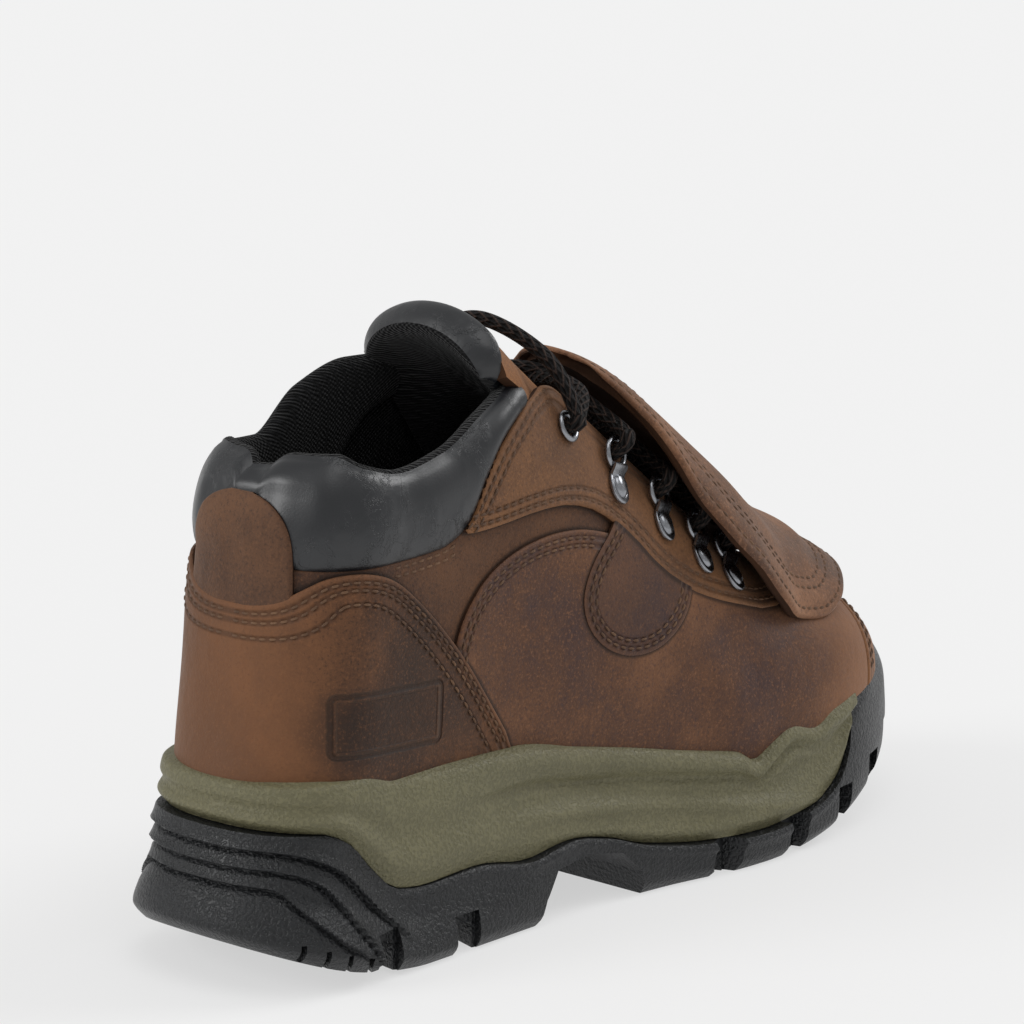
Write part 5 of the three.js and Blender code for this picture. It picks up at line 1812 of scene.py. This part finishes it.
def ring_solid(rings: list[np.ndarray], inner: int) -> Part:
    """Return a closed solid through rings from low to high, its ends closed by strips.

    Args:
        rings: Rings of points.
        inner: How many of the last rings lie inside the boot, where the second material shows.

    Returns:
        The part.
    """
    count = len(rings[0])
    part = Part()
    band = np.repeat(np.arange(1, len(rings)) > len(rings) - 1 - inner, count).astype(int)
    part.add(np.vstack(rings), grid_faces(len(rings), count, closed=True), band)
    for first, flip in ((0, True), ((len(rings) - 1) * count, False)):
        for i in range(count // 2):
            a, b, c, d = i, i + 1, count - 1 - i, (count - i) % count
            face = [a, b, c, d] if a != d else [a, b, c]
            if b == c:
                face = [a, b, d]
            face = [first + k for k in face]
            part.faces.append(face[::-1] if flip else face)
            part.finishes.append(0 if flip else 1)
    return part


@dataclass
class Midsole:
    """The waved foam midsole."""

    AROUND: int = 170
    inset: Table = field(
        default_factory=lambda: Table(
            "z", (0, 10.5), (0.12, 7.5), (0.22, 5), (0.4, 3), (0.7, 3), (0.8, 2), (1, 2)
        )
    )
    side: Table = field(
        default_factory=lambda: Table(
            "inset", (-0.6, 1.5), (0.0, 0.6), (0.22, -0.4), (0.5, 1.6), (0.7, 0.4), (0.9, 0.2),
            (0.97, 0.9), (1.0, 2.6)
        )
    )

    def make(self, palette: Palette) -> bpy.types.Object:
        """Make the midsole.

        Args:
            palette: The boot's finishes.

        Returns:
            The piece.
        """
        levels = np.concatenate([np.linspace(-0.35, 0.9, 46), [0.93, 0.96, 0.98, 0.995, 1.0]])

        def height(level: float) -> Callable:
            """Return a ring's height, as a function of place."""
            def at(share: np.ndarray) -> np.ndarray:
                """Return it at places along the boot."""
                low = np.minimum(FORM.parting_line.read("z", share), FORM.rim_line.read("z", share) - 12)
                return low + (FORM.rim_line.read("z", share) - low) * level
            return at

        def inset(level: float) -> Callable:
            """Return how far in a ring lies, as a function of place."""
            def at(share: np.ndarray) -> np.ndarray:
                """Return it at places along the boot."""
                base = self.inset.read("z", share) + self.side.read("inset", level)
                return base - self.waves(share, height(level)(share))
            return at

        rings = [FORM.sole_ring(inset(float(level)), height(float(level)), self.AROUND) for level in levels]
        for inward, up in ((0.6, 0.35), (1.6, 0.5), (3.2, 0.2), (4.6, -0.6), (4.9, -4.0), (5.0, -40.0)):
            rings.append(
                FORM.sole_ring(
                    lambda share, inward=inward: inset(1.0)(share) + inward,
                    lambda share, up=up: np.maximum(FORM.rim_line.read("z", share) + up, self.seat(share)),
                    self.AROUND,
                )
            )
        part = ring_solid(rings, 2)
        piece = part.build("midsole_foam", Slot.FOAM, [palette.foam, palette.knit], angle=50)
        places = np.linspace(0, 0.822, 60)
        line = [(at * LENGTH, float(FORM.parting_line.read("z", at)) + GAP) for at in places]
        end = line[-1][0] + 0.5
        low = np.array(
            [(-60.0, -30.0), (-60.0, line[0][1]), *line, (end, 200.0), (400.0, 200.0), (400.0, -30.0)]
        )
        cut_away(piece, [cutter(prism(low[::-1], -90, 90, False), "below_parting")])
        piece.data.set_sharp_from_angle(angle=math.radians(50))
        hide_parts("midsole")
        return piece

    def seat(self, share: np.ndarray) -> np.ndarray:
        """Return the height of the floor inside the foam, just under the insole."""
        rim = FORM.rim_line.read("z", share)
        floor = np.minimum(FORM.parting_line.read("z", share), rim - 14) + 1.5
        return np.maximum(floor, FORM.row("under", share) - 3)

    def waves(self, share: np.ndarray, z: np.ndarray) -> np.ndarray:
        """Return the raised flowing ridges of the side, in millimetres outward.

        Args:
            share: Places along the boot.
            z: Heights.

        Returns:
            How far the side stands out.
        """
        x = share * LENGTH
        rim = FORM.rim_line.read("z", share)
        under_rim = rim - z
        heel_share = 1 - smoothstep(72, 110, x)
        parting = FORM.parting_line.read("z", share)
        rise = np.clip((z - parting) / np.maximum(rim - parting, 1), 0, 1)
        roll = 1.9 * np.sin(math.pi * rise ** 0.85) * heel_share
        ridge_top = 1.1 * np.exp(-(((under_rim - 4.2) / 2.8) ** 2)) * (1 - heel_share)
        off_valley = under_rim - 9.5 - 3.0 * np.sin(x * 0.02)
        valley = -1.9 * np.exp(-((off_valley / 1.9) ** 2)) * smoothstep(70, 100, x)
        valley *= 1 - smoothstep(224, 240, x)
        swoop_z = 24 + 10 * np.cos((x - 90) * 0.019)
        swoop = 2.0 * np.exp(-(((z - swoop_z) / 2.6) ** 2))
        swoop = swoop * smoothstep(85, 115, x) * (1 - smoothstep(205, 235, x))
        low_line = 26 - 11 * smoothstep(110, 180, x)
        low = 1.3 * np.exp(-(((z - low_line) / 2.2) ** 2))
        low = low * smoothstep(100, 125, x) * (1 - smoothstep(215, 240, x))
        front = 0.8 * np.exp(-(((z - 27 - 0.35 * (x - 205)) / 3.0) ** 2)) * smoothstep(195, 215, x)
        return roll + ridge_top + valley + swoop + low + front


@dataclass
class Outsole:
    """The lugged rubber outsole, with stepped ribs round the heel and a bumper over the toe."""

    AROUND: int = 190
    top: Table = field(
        default_factory=lambda: Table(
            "z", (0, 48), (0.1, 44), (0.2, 30), (0.75, 30), (0.83, 48), (0.92, 57), (1, 61)
        )
    )
    side: Table = field(
        default_factory=lambda: Table(
            "heel toe",
            (0.0, 3.5, 3), (0.07, 1.2, 1.2), (0.14, 0, 0.4), (0.3, 1.6, 0), (0.46, 4.8, 0.3), (0.5, 5.6, 0.4),
            (0.64, 6.4, 1), (0.77, 7.2, 1.8), (0.85, 7.6, 3), (0.96, 7.8, 5), (1.0, 8.6, 6),
        )
    )
    ribs: Table = field(
        default_factory=lambda: Table(
            "low middle high",
            (0.0, 31.5, 36.5, 41.8), (0.02, 31, 36.3, 41.6), (0.04, 26, 34.8, 40.6), (0.06, 20.5, 32, 38.6),
            (0.085, 14, 25, 35), (0.1, 11.5, 18.5, 31.5), (0.115, 8, 11.5, 27), (0.13, 2, 4, 22),
            (0.15, -6, -6, 16),
            (0.17, -20, -20, 9), (0.19, -30, -30, -10),
        )
    )
    gaps: tuple[tuple[float, float, float], ...] = (
        (0.135, 6.5, 12), (0.24, 7, 16), (0.61, 7, -22), (0.708, 6, -14), (0.787, 6, -6), (0.855, 6, 8),
        (0.915, 6, 24),
    )
    REACH: float = 0.42

    def block(self, at: float, wide: float, slant: float, side: int, reach: float, deep: float) -> Part:
        """Return the room between two lugs."""
        long = BALL_HALF * 2 * reach
        box = np.array([(-1, -1), (1, -1), (1, 1), (-1, 1)]) * [wide / 2, long / 2]
        box[:, 1] -= side * BALL_HALF * reach * 0.5
        turn = math.radians(slant * side)
        box = box @ np.array([[math.cos(turn), math.sin(turn)], [-math.sin(turn), math.cos(turn)]])
        column = "lateral" if side < 0 else "medial"
        middle = BALL_HALF * (float(FORM.plan.read(column, at)) + 0.1)
        ends = float(round_end(np.array((1 - at) * LENGTH), 0.25 * LENGTH, 2.1))
        box += [at * LENGTH, float(FORM.swing(at)) + side * middle * ends]
        height = float(FORM.tread(np.array(at)))
        return prism(box, height - 12, height + deep, True)

    def channel(self, start: float, end: float, offset: float) -> list[Part]:
        """Return the pieces of a zigzag groove along the tread."""
        turns = round((end - start) / 0.1)
        half, swerve = 2.2, 3.2
        share = start + (end - start) * np.arange(turns + 1) / turns
        y = FORM.swing(share) + offset * BALL_HALF + np.where(np.arange(turns + 1) % 2, swerve, -swerve)
        made = []
        for i in range(turns):
            (a, b), (c, d) = (share[i] * LENGTH, y[i]), (share[i + 1] * LENGTH, y[i + 1])
            deep = float(FORM.tread(np.array((share[i] + share[i + 1]) / 2))) + LUG_DEPTH * 0.7
            groove = np.array([(a - 1, b - half), (c + 1, d - half), (c + 1, d + half), (a - 1, b + half)])
            made.append(prism(groove, -20, deep, True))
        return made

    def inside(self, share: np.ndarray, down: float) -> np.ndarray:
        """Return heights inside the toe's bumper, which is hollow down to the insole."""
        top = self.top.read("z", share)
        return np.maximum(top - down * smoothstep(0.76, 0.82, share), np.minimum(FORM.tread(share) + 15, top))

    def lips(self, share: np.ndarray, z: np.ndarray) -> np.ndarray:
        """Return how far the heel's ribs and the toe's bars stand out, in millimetres."""
        out = np.zeros_like(z)
        for name, lip in (("low", 1.7), ("middle", 1.9), ("high", 2.1)):
            over = z - self.ribs.read(name, share)
            out += lip * smoothstep(-0.5, 0.7, over) * np.exp(-np.maximum(over, 0) / 3.6)
            out -= 0.9 * np.exp(-(((over + 0.7) / 0.7) ** 2))
        out *= 1 - smoothstep(0.15, 0.18, share)
        parting = FORM.parting_line.read("z", share) - z
        bead = 0.9 * np.exp(-(((parting - 1.6) / 1.5) ** 2)) * smoothstep(0.12, 0.2, share)
        return out + bead * (1 - smoothstep(0.74, 0.79, share))

    def make(self, palette: Palette) -> bpy.types.Object:
        """Make the outsole.

        Args:
            palette: The boot's finishes.

        Returns:
            The piece.
        """
        levels = np.concatenate([[0, 0.03, 0.07], np.linspace(0.1, 0.98, 84), [1.0]])

        def height(level: float) -> Callable:
            """Return a ring's height, as a function of place."""
            return lambda share: FORM.tread(share) + (self.top.read("z", share) - FORM.tread(share)) * level

        def inset(level: float) -> Callable:
            """Return how far in a ring lies, as a function of place."""
            def at(share: np.ndarray) -> np.ndarray:
                """Return it at places along the boot."""
                blend = np.clip((share - 0.14) / 0.2, 0, 1)
                heel, toe = float(self.side.read("heel", level)), float(self.side.read("toe", level))
                back = 7.0 * smoothstep(0.84, 0.96, share) * float(smoothstep(0.55, 1.0, np.array(level)))
                return heel + (toe - heel) * blend + back - self.lips(share, height(level)(share))

            return at

        rings = [FORM.sole_ring(inset(float(v)), height(float(v)), self.AROUND) for v in levels]
        for inward, down in ((2.0, -0.4), (4.5, 1.5), (6.0, 10.0), (7.0, 40.0)):
            rings.append(
                FORM.sole_ring(
                    lambda share, inward=inward: inset(1.0)(share) + inward,
                    lambda share, down=down: self.inside(share, down),
                    self.AROUND,
                )
            )
        part = ring_solid(rings, 1)
        piece = part.build("outsole_rubber", Slot.RUBBER, [palette.rubber, palette.knit])
        line = [(at * LENGTH, float(FORM.parting_line.read("z", at))) for at in np.linspace(0, 0.822, 70)]
        above = np.array([(-60.0, 220.0), (-60.0, line[0][1]), *line, (line[-1][0], 220.0)])
        breast, shank = 0.345, 0.5
        hollow = np.array([
            (breast * LENGTH, -5), ((breast + 0.012) * LENGTH, LUG_DEPTH),
            ((breast + 0.03) * LENGTH, LUG_DEPTH * 2),
            ((breast + shank) / 2 * LENGTH, LUG_DEPTH * 2.2), ((shank - 0.035) * LENGTH, LUG_DEPTH * 1.9),
            ((shank - 0.01) * LENGTH, LUG_DEPTH), (shank * LENGTH, -5),
        ])
        solids = [prism(above, -90, 90, False), prism(hollow, -90, 90, False)]
        for at, wide, slant in self.gaps:
            for side in SIDES:
                solids.append(self.block(at, wide, slant, side, self.REACH, LUG_DEPTH))
                solids.append(self.block(at, wide + 2.5, slant, side, 0.13, LUG_DEPTH + 4))
        for start, end, half in ((0.06, breast, 0.26), (shank, 0.93, 0.34)):
            solids += self.channel(start, end, -half) + self.channel(start, end, half)
        for k, at in enumerate((0.016, 0.034, 0.054, 0.076, 0.1)):
            for side in SIDES:
                solids.append(self.block(at, 1.5, 8 + 6 * k, side, 0.2, 5.5 - 0.3 * k))
        cut_away(piece, [cutter(solid, f"cut_{k}") for k, solid in enumerate(solids)])
        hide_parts("outsole")
        return piece


# Fittings and lace


@dataclass(frozen=True)
class Fitting:
    """A place on the eyestay that takes the lace."""

    at: float
    z: float

    def frame(self, side: int, out: float) -> tuple[np.ndarray, np.ndarray]:
        """Return a turn and an origin: X along the throat, Y up towards it, Z outward."""
        share, z, s = np.array(self.at), np.array(self.z), np.array(float(side))
        origin = FORM.skin_out(share, z, s, np.array(out))
        normal = unit(FORM.skin_out(share, z, s, np.array(out + 1)) - origin)
        up = FORM.skin(share, z + 1, s) - FORM.skin(share, z - 1, s) + np.array([0.5, 0, 0.2])
        up = unit(up - normal * (up @ normal))
        along = np.cross(up, normal)
        return np.stack([along, up, normal], axis=1), origin

    def place(self, points: np.ndarray, side: int, out: float = SURFACE) -> np.ndarray:
        """Return points given in the fitting's own axes."""
        turn, origin = self.frame(side, out)
        return points @ turn.T + origin


FITTINGS = tuple(
    Fitting(at, z) for at, z in ((0.4295, 145), (0.497, 128), (0.561, 113), (0.612, 100), (0.656, 91.5))
)


def tube(
    line: np.ndarray, radius: float | np.ndarray, around: int, closed: bool = False
) -> tuple[np.ndarray, np.ndarray, np.ndarray]:
    """Return a tube along a line.

    Args:
        line: Points of its middle.
        radius: Its radius.
        around: Points round it.
        closed: Whether it is a ring.

    Returns:
        Points, faces and flow (share of a turn, millimetres along).
    """
    if closed:
        along = unit(np.roll(line, -1, axis=0) - np.roll(line, 1, axis=0))
    else:
        along = unit(np.gradient(line, axis=0))
    side = np.zeros_like(line)
    start = np.array([0.0, 0.0, 1.0]) if abs(along[0][2]) < 0.9 else np.array([1.0, 0.0, 0.0])
    side[0] = unit(np.cross(along[0], start))
    for k in range(1, len(line)):
        v = side[k - 1] - along[k] * (side[k - 1] @ along[k])
        side[k] = unit(v)
    other = np.cross(along, side)
    turn = np.arange(around) * 2 * math.pi / around
    wide = np.broadcast_to(radius, len(line))[:, None, None]
    cosine, sine = np.cos(turn)[None, :, None], np.sin(turn)[None, :, None]
    ring = line[:, None] + (side[:, None] * cosine + other[:, None] * sine) * wide
    length = np.concatenate([[0], np.cumsum(np.linalg.norm(np.diff(line, axis=0), axis=1))])
    round_share = np.abs(np.arange(around) / around * 2 - 1)[None, :]
    flow = np.stack(np.broadcast_arrays(round_share, length[:, None]), axis=-1)
    faces = grid_faces(len(line), around, True)
    if closed:
        last = (len(line) - 1) * around
        k = np.arange(around)
        n = (k + 1) % around
        faces = np.vstack([faces, np.stack([last + k, last + n, n, k], axis=1)])
    return ring.reshape(-1, 3), faces, flow.reshape(-1, 2)


def lathe(profile: np.ndarray, around: int = 40) -> tuple[np.ndarray, np.ndarray]:
    """Return a turned form about Z from a profile of (radius, height)."""
    turn = np.arange(around) * 2 * math.pi / around
    r, z = profile.T
    up = np.broadcast_to(z[:, None], (len(r), around))
    points = np.stack([r[:, None] * np.cos(turn), r[:, None] * np.sin(turn), up], -1)
    return points.reshape(-1, 3), grid_faces(len(profile), around, True)


class Hardware:
    """Eyelets and D-rings."""

    RING_UP = 5.2
    RING_OUT = 2.2
    RING_TILT = 0.24

    def __init__(self, palette: Palette) -> None:
        """Keep the finishes."""
        self.palette = palette

    def eyelet(self, side: int, label: str) -> bpy.types.Object:
        """Make one eyelet with a rolled flange."""
        i, o = EYELET_IN, EYELET_OUT
        profile = np.array([
            (i + 0.2, -SURFACE - 0.6), (i, 0.2), (i + 0.05, 0.8), (i + 0.4, 1.4), (i + 0.9, 1.75),
            (o - 0.7, 1.75), (o - 0.2, 1.4), (o, 0.9), (o - 0.1, 0.5), (o - 0.5, 0.2),
        ])
        points, faces = lathe(catmull(profile, 30))
        part = Part()
        part.add(FITTINGS[0].place(points, side), faces)
        piece = part.build(f"eyelet_ring_{label}", Slot.METAL, [self.palette.metal])
        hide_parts(f"eyelet_{label}")
        return piece

    def d_ring(self, number: int, side: int, label: str) -> bpy.types.Object:
        """Make one D-ring: its wire, the clip bent round it, its oval foot and the rivet's cap.

        Args:
            number: Which fitting it is.
            side: Which side of the boot.
            label: The side's name.

        Returns:
            The piece.
        """
        place = FITTINGS[number]
        turn = np.arange(72) * 2 * math.pi / 72
        radius = RING_R - RING_WIRE
        squared = 1 + 0.1 * np.maximum(0, -np.sin(turn)) ** 2
        wide, high = radius * 1.08 * np.cos(turn) * squared, radius * 0.95 * np.sin(turn)
        wire = np.stack([wide, high, np.zeros(72)], axis=1)
        c, s = math.cos(self.RING_TILT), math.sin(self.RING_TILT)
        wire = wire @ np.array([[1, 0, 0], [0, c, s], [0, -s, c]]) + [0, self.RING_UP, self.RING_OUT]
        points, faces, _ = tube(wire, RING_WIRE, 12, closed=True)
        part = Part()
        part.add(place.place(points, side), faces)
        bend = np.array([
            (-5.2, 0.75), (-3.4, 0.8), (-1.4, 1.3), (0.2, 2.7), (1.3, 3.3), (2.1, 2.6), (2.0, 1.2),
            (1.0, 0.5),
        ])
        bend = catmull(bend, 26)
        across = np.linspace(-1, 1, 9)
        outer = []
        for k, (y, z) in enumerate(bend):
            half = 3.3 + 0.4 * math.sin(k / 25 * math.pi)
            outer.append(np.stack([across * half, np.full(9, y), z + 0.15 * (1 - across**2)], axis=1))
        outer = np.array(outer)
        normal = np.gradient(bend, axis=0)
        normal = unit(np.stack([np.zeros(len(bend)), -normal[:, 1], normal[:, 0]], axis=1))
        inner = outer - normal[:, None] * 0.8
        loop = np.concatenate([outer, inner[:, ::-1]], axis=1)
        part.add(place.place(loop.reshape(-1, 3), side), grid_faces(len(bend), 18, True))
        profile = np.array([
            (RIVET_R + 1.2, -0.2), (RIVET_R + 1.2, 0.55), (RIVET_R + 0.9, 0.85), (RIVET_R + 0.1, 0.9),
            (RIVET_R - 0.35, 0.75), (RIVET_R - 0.45, 1.1), (RIVET_R - 0.9, 1.7), (RIVET_R * 0.45, 2.2),
            (0.01, 2.35),
        ])
        foot, faces = lathe(catmull(profile, 34))
        foot = foot * [1.0, 1.24, 1.0] + [0, -4.6, 0.2]
        part.add(place.place(foot, side), faces)
        piece = part.build(f"ring_and_clip_{label}_{number}", Slot.METAL, [self.palette.metal], angle=42)
        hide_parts(f"d_ring_{label}_{number}")
        return piece

    def make(self) -> list[bpy.types.Object]:
        """Make every fitting."""
        made = []
        for label, side in (("lateral", -1), ("medial", 1)):
            made.append(self.eyelet(side, label))
            made += [self.d_ring(k, side, label) for k in range(1, len(FITTINGS))]
        return made


class Lace:
    """The lace: a dip into every fitting and crossings between neighbours."""

    OVER = 7.3
    UP = Hardware.RING_UP

    def rise(self, i: int, side: int) -> np.ndarray:
        """Return the highest point of the lace at a fitting."""
        local = np.array([0, 1.4, 4.6]) if i == 0 else np.array([0, self.UP + 4, self.OVER])
        return FITTINGS[i].place(local, side)

    def dip(self, i: int, side: int) -> np.ndarray:
        """Return the points down into a fitting."""
        if i == 0:
            low = [[0, 0, 2.6], [0, 0, -SURFACE + 0.4]]
        else:
            low = [[0, self.UP + 1.2, 5.7], [0, self.UP + 0.2, GAP * 2]]
        return FITTINGS[i].place(np.array(low, float), side)

    def crossing(
        self, first: tuple[int, int], second: tuple[int, int], shift: float, lift: float
    ) -> np.ndarray:
        """Return the points of a strand from one fitting over the tongue to another.

        Args:
            first: Number and side of the first fitting.
            second: The same for the second one.
            shift: How far the strand's middle lies towards the toe.
            lift: How far its middle lies off the arch.

        Returns:
            The points.
        """
        a, b = self.rise(*first), self.rise(*second)
        middle = []
        for share, out in ((0.22, 6.5), (0.5, lift), (0.78, 6.5)):
            x, y = a[:2] + (b[:2] - a[:2]) * share
            middle.append(FORM.over_dome(x + shift * math.sin(math.pi * share), y, out))
        return np.vstack([self.dip(*first)[::-1], a, middle, b, self.dip(*second)])

    def make(self, palette: Palette) -> bpy.types.Object:
        """Make the lace.

        Args:
            palette: The boot's finishes.

        Returns:
            The piece.
        """
        strands = []
        for i in range(len(FITTINGS) - 1):
            for side in SIDES:
                strands.append(self.crossing((i + 1, side), (i, -side), 5, 3.8 - 0.8 * side))
        last = len(FITTINGS) - 1
        strands.append(self.crossing((last, -1), (last, 1), -4, 7))
        strands.append(self.crossing((0, -1), (0, 1), -10, 3.5))
        part = Part()
        for points in strands:
            line = catmull(points, 110)
            mesh, faces, flow = tube(line, LACE / 2, 20)
            part.add(mesh, faces, 0, flow)
        piece = part.build("lace_cord", Slot.LACE, [palette.cord])
        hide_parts("lace")
        return piece


# Stage


class Studio:
    """Floor, light and camera."""

    AZIMUTH = 48.0
    ELEVATION = 13.0
    DISTANCE = 1300.0
    TARGET = (140.116, 0.0, 114.216)
    LENS = 151.2
    LAMPS = (
        ("overhead_lamp", (-0.15, -0.3, 1.0), 0.55, 40.0),
        ("heel_lamp", (-0.88, 0.5, 0.55), 1.0, 28.0),
        ("toe_lamp", (0.95, -0.4, 0.8), 0.95, 26.0),
    )

    def make(self) -> None:
        """Make the stage."""
        size = 9.0
        mesh = bpy.data.meshes.new("floor")
        corners = [(-size, -size, 0), (size, -size, 0), (size, size, 0), (-size, size, 0)]
        mesh.from_pydata(corners, [], [(0, 1, 2, 3)])
        floor = bpy.data.objects.new("floor", mesh)
        bpy.context.scene.collection.objects.link(floor)
        finish = Finish("pale_floor")
        finish.set("Base Color", srgb("979797"))
        finish.set("Emission Color", srgb("c8c8c8"))
        finish.set("Emission Strength", 1.0)
        finish.set("Roughness", 0.9)
        finish.set("Specular IOR Level", 0.0)
        mesh.materials.append(finish.material)
        world = bpy.data.worlds.new("studio")
        bpy.context.scene.world = world
        world.use_nodes = True
        back = world.node_tree.nodes["Background"]
        back.inputs["Color"].default_value = (1.0, 1.0, 1.0, 1)
        back.inputs["Strength"].default_value = 0.49
        for name, place, power, spread in self.LAMPS:
            lamp = bpy.data.lights.new(name, "SUN")
            lamp.energy, lamp.angle = power, math.radians(spread)
            holder = bpy.data.objects.new(name, lamp)
            holder.location = place
            holder.rotation_euler = (Vector((0, 0, 0)) - Vector(place)).to_track_quat("-Z", "Y").to_euler()
            bpy.context.scene.collection.objects.link(holder)
        a, e = math.radians(self.AZIMUTH), math.radians(self.ELEVATION)
        back_from = np.array([-math.sin(a) * math.cos(e), -math.cos(a) * math.cos(e), math.sin(e)])
        target = (np.array(self.TARGET) - ORIGIN) * MM
        camera_data = bpy.data.cameras.new("camera")
        camera_data.sensor_width, camera_data.lens = 36.0, self.LENS
        camera_data.clip_end = 60
        camera = bpy.data.objects.new("camera", camera_data)
        camera.location = target + back_from * self.DISTANCE * MM
        camera.rotation_euler = (Vector(target) - camera.location).to_track_quat("-Z", "Y").to_euler()
        bpy.context.scene.collection.objects.link(camera)
        bpy.context.scene.camera = camera
        bpy.context.scene.view_settings.view_transform = "Standard"


def main() -> None:
    """Build the boot's looks piece by piece."""
    logging.basicConfig(level=logging.INFO, format="%(message)s")
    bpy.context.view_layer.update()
    Studio().make()
    palette = Palette()
    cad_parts["insole"].data.materials.clear()
    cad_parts["insole"].data.materials.append(palette.knit)
    Leather(palette).make()
    stitch_leather(palette)
    Collar().make(palette)
    Tongue().make(palette)
    Guard().make(palette)
    HeelTab().make(palette)
    Midsole().make(palette)
    Outsole().make(palette)
    Hardware(palette).make()
    Lace().make(palette)


if __name__ == "__main__":
    main()
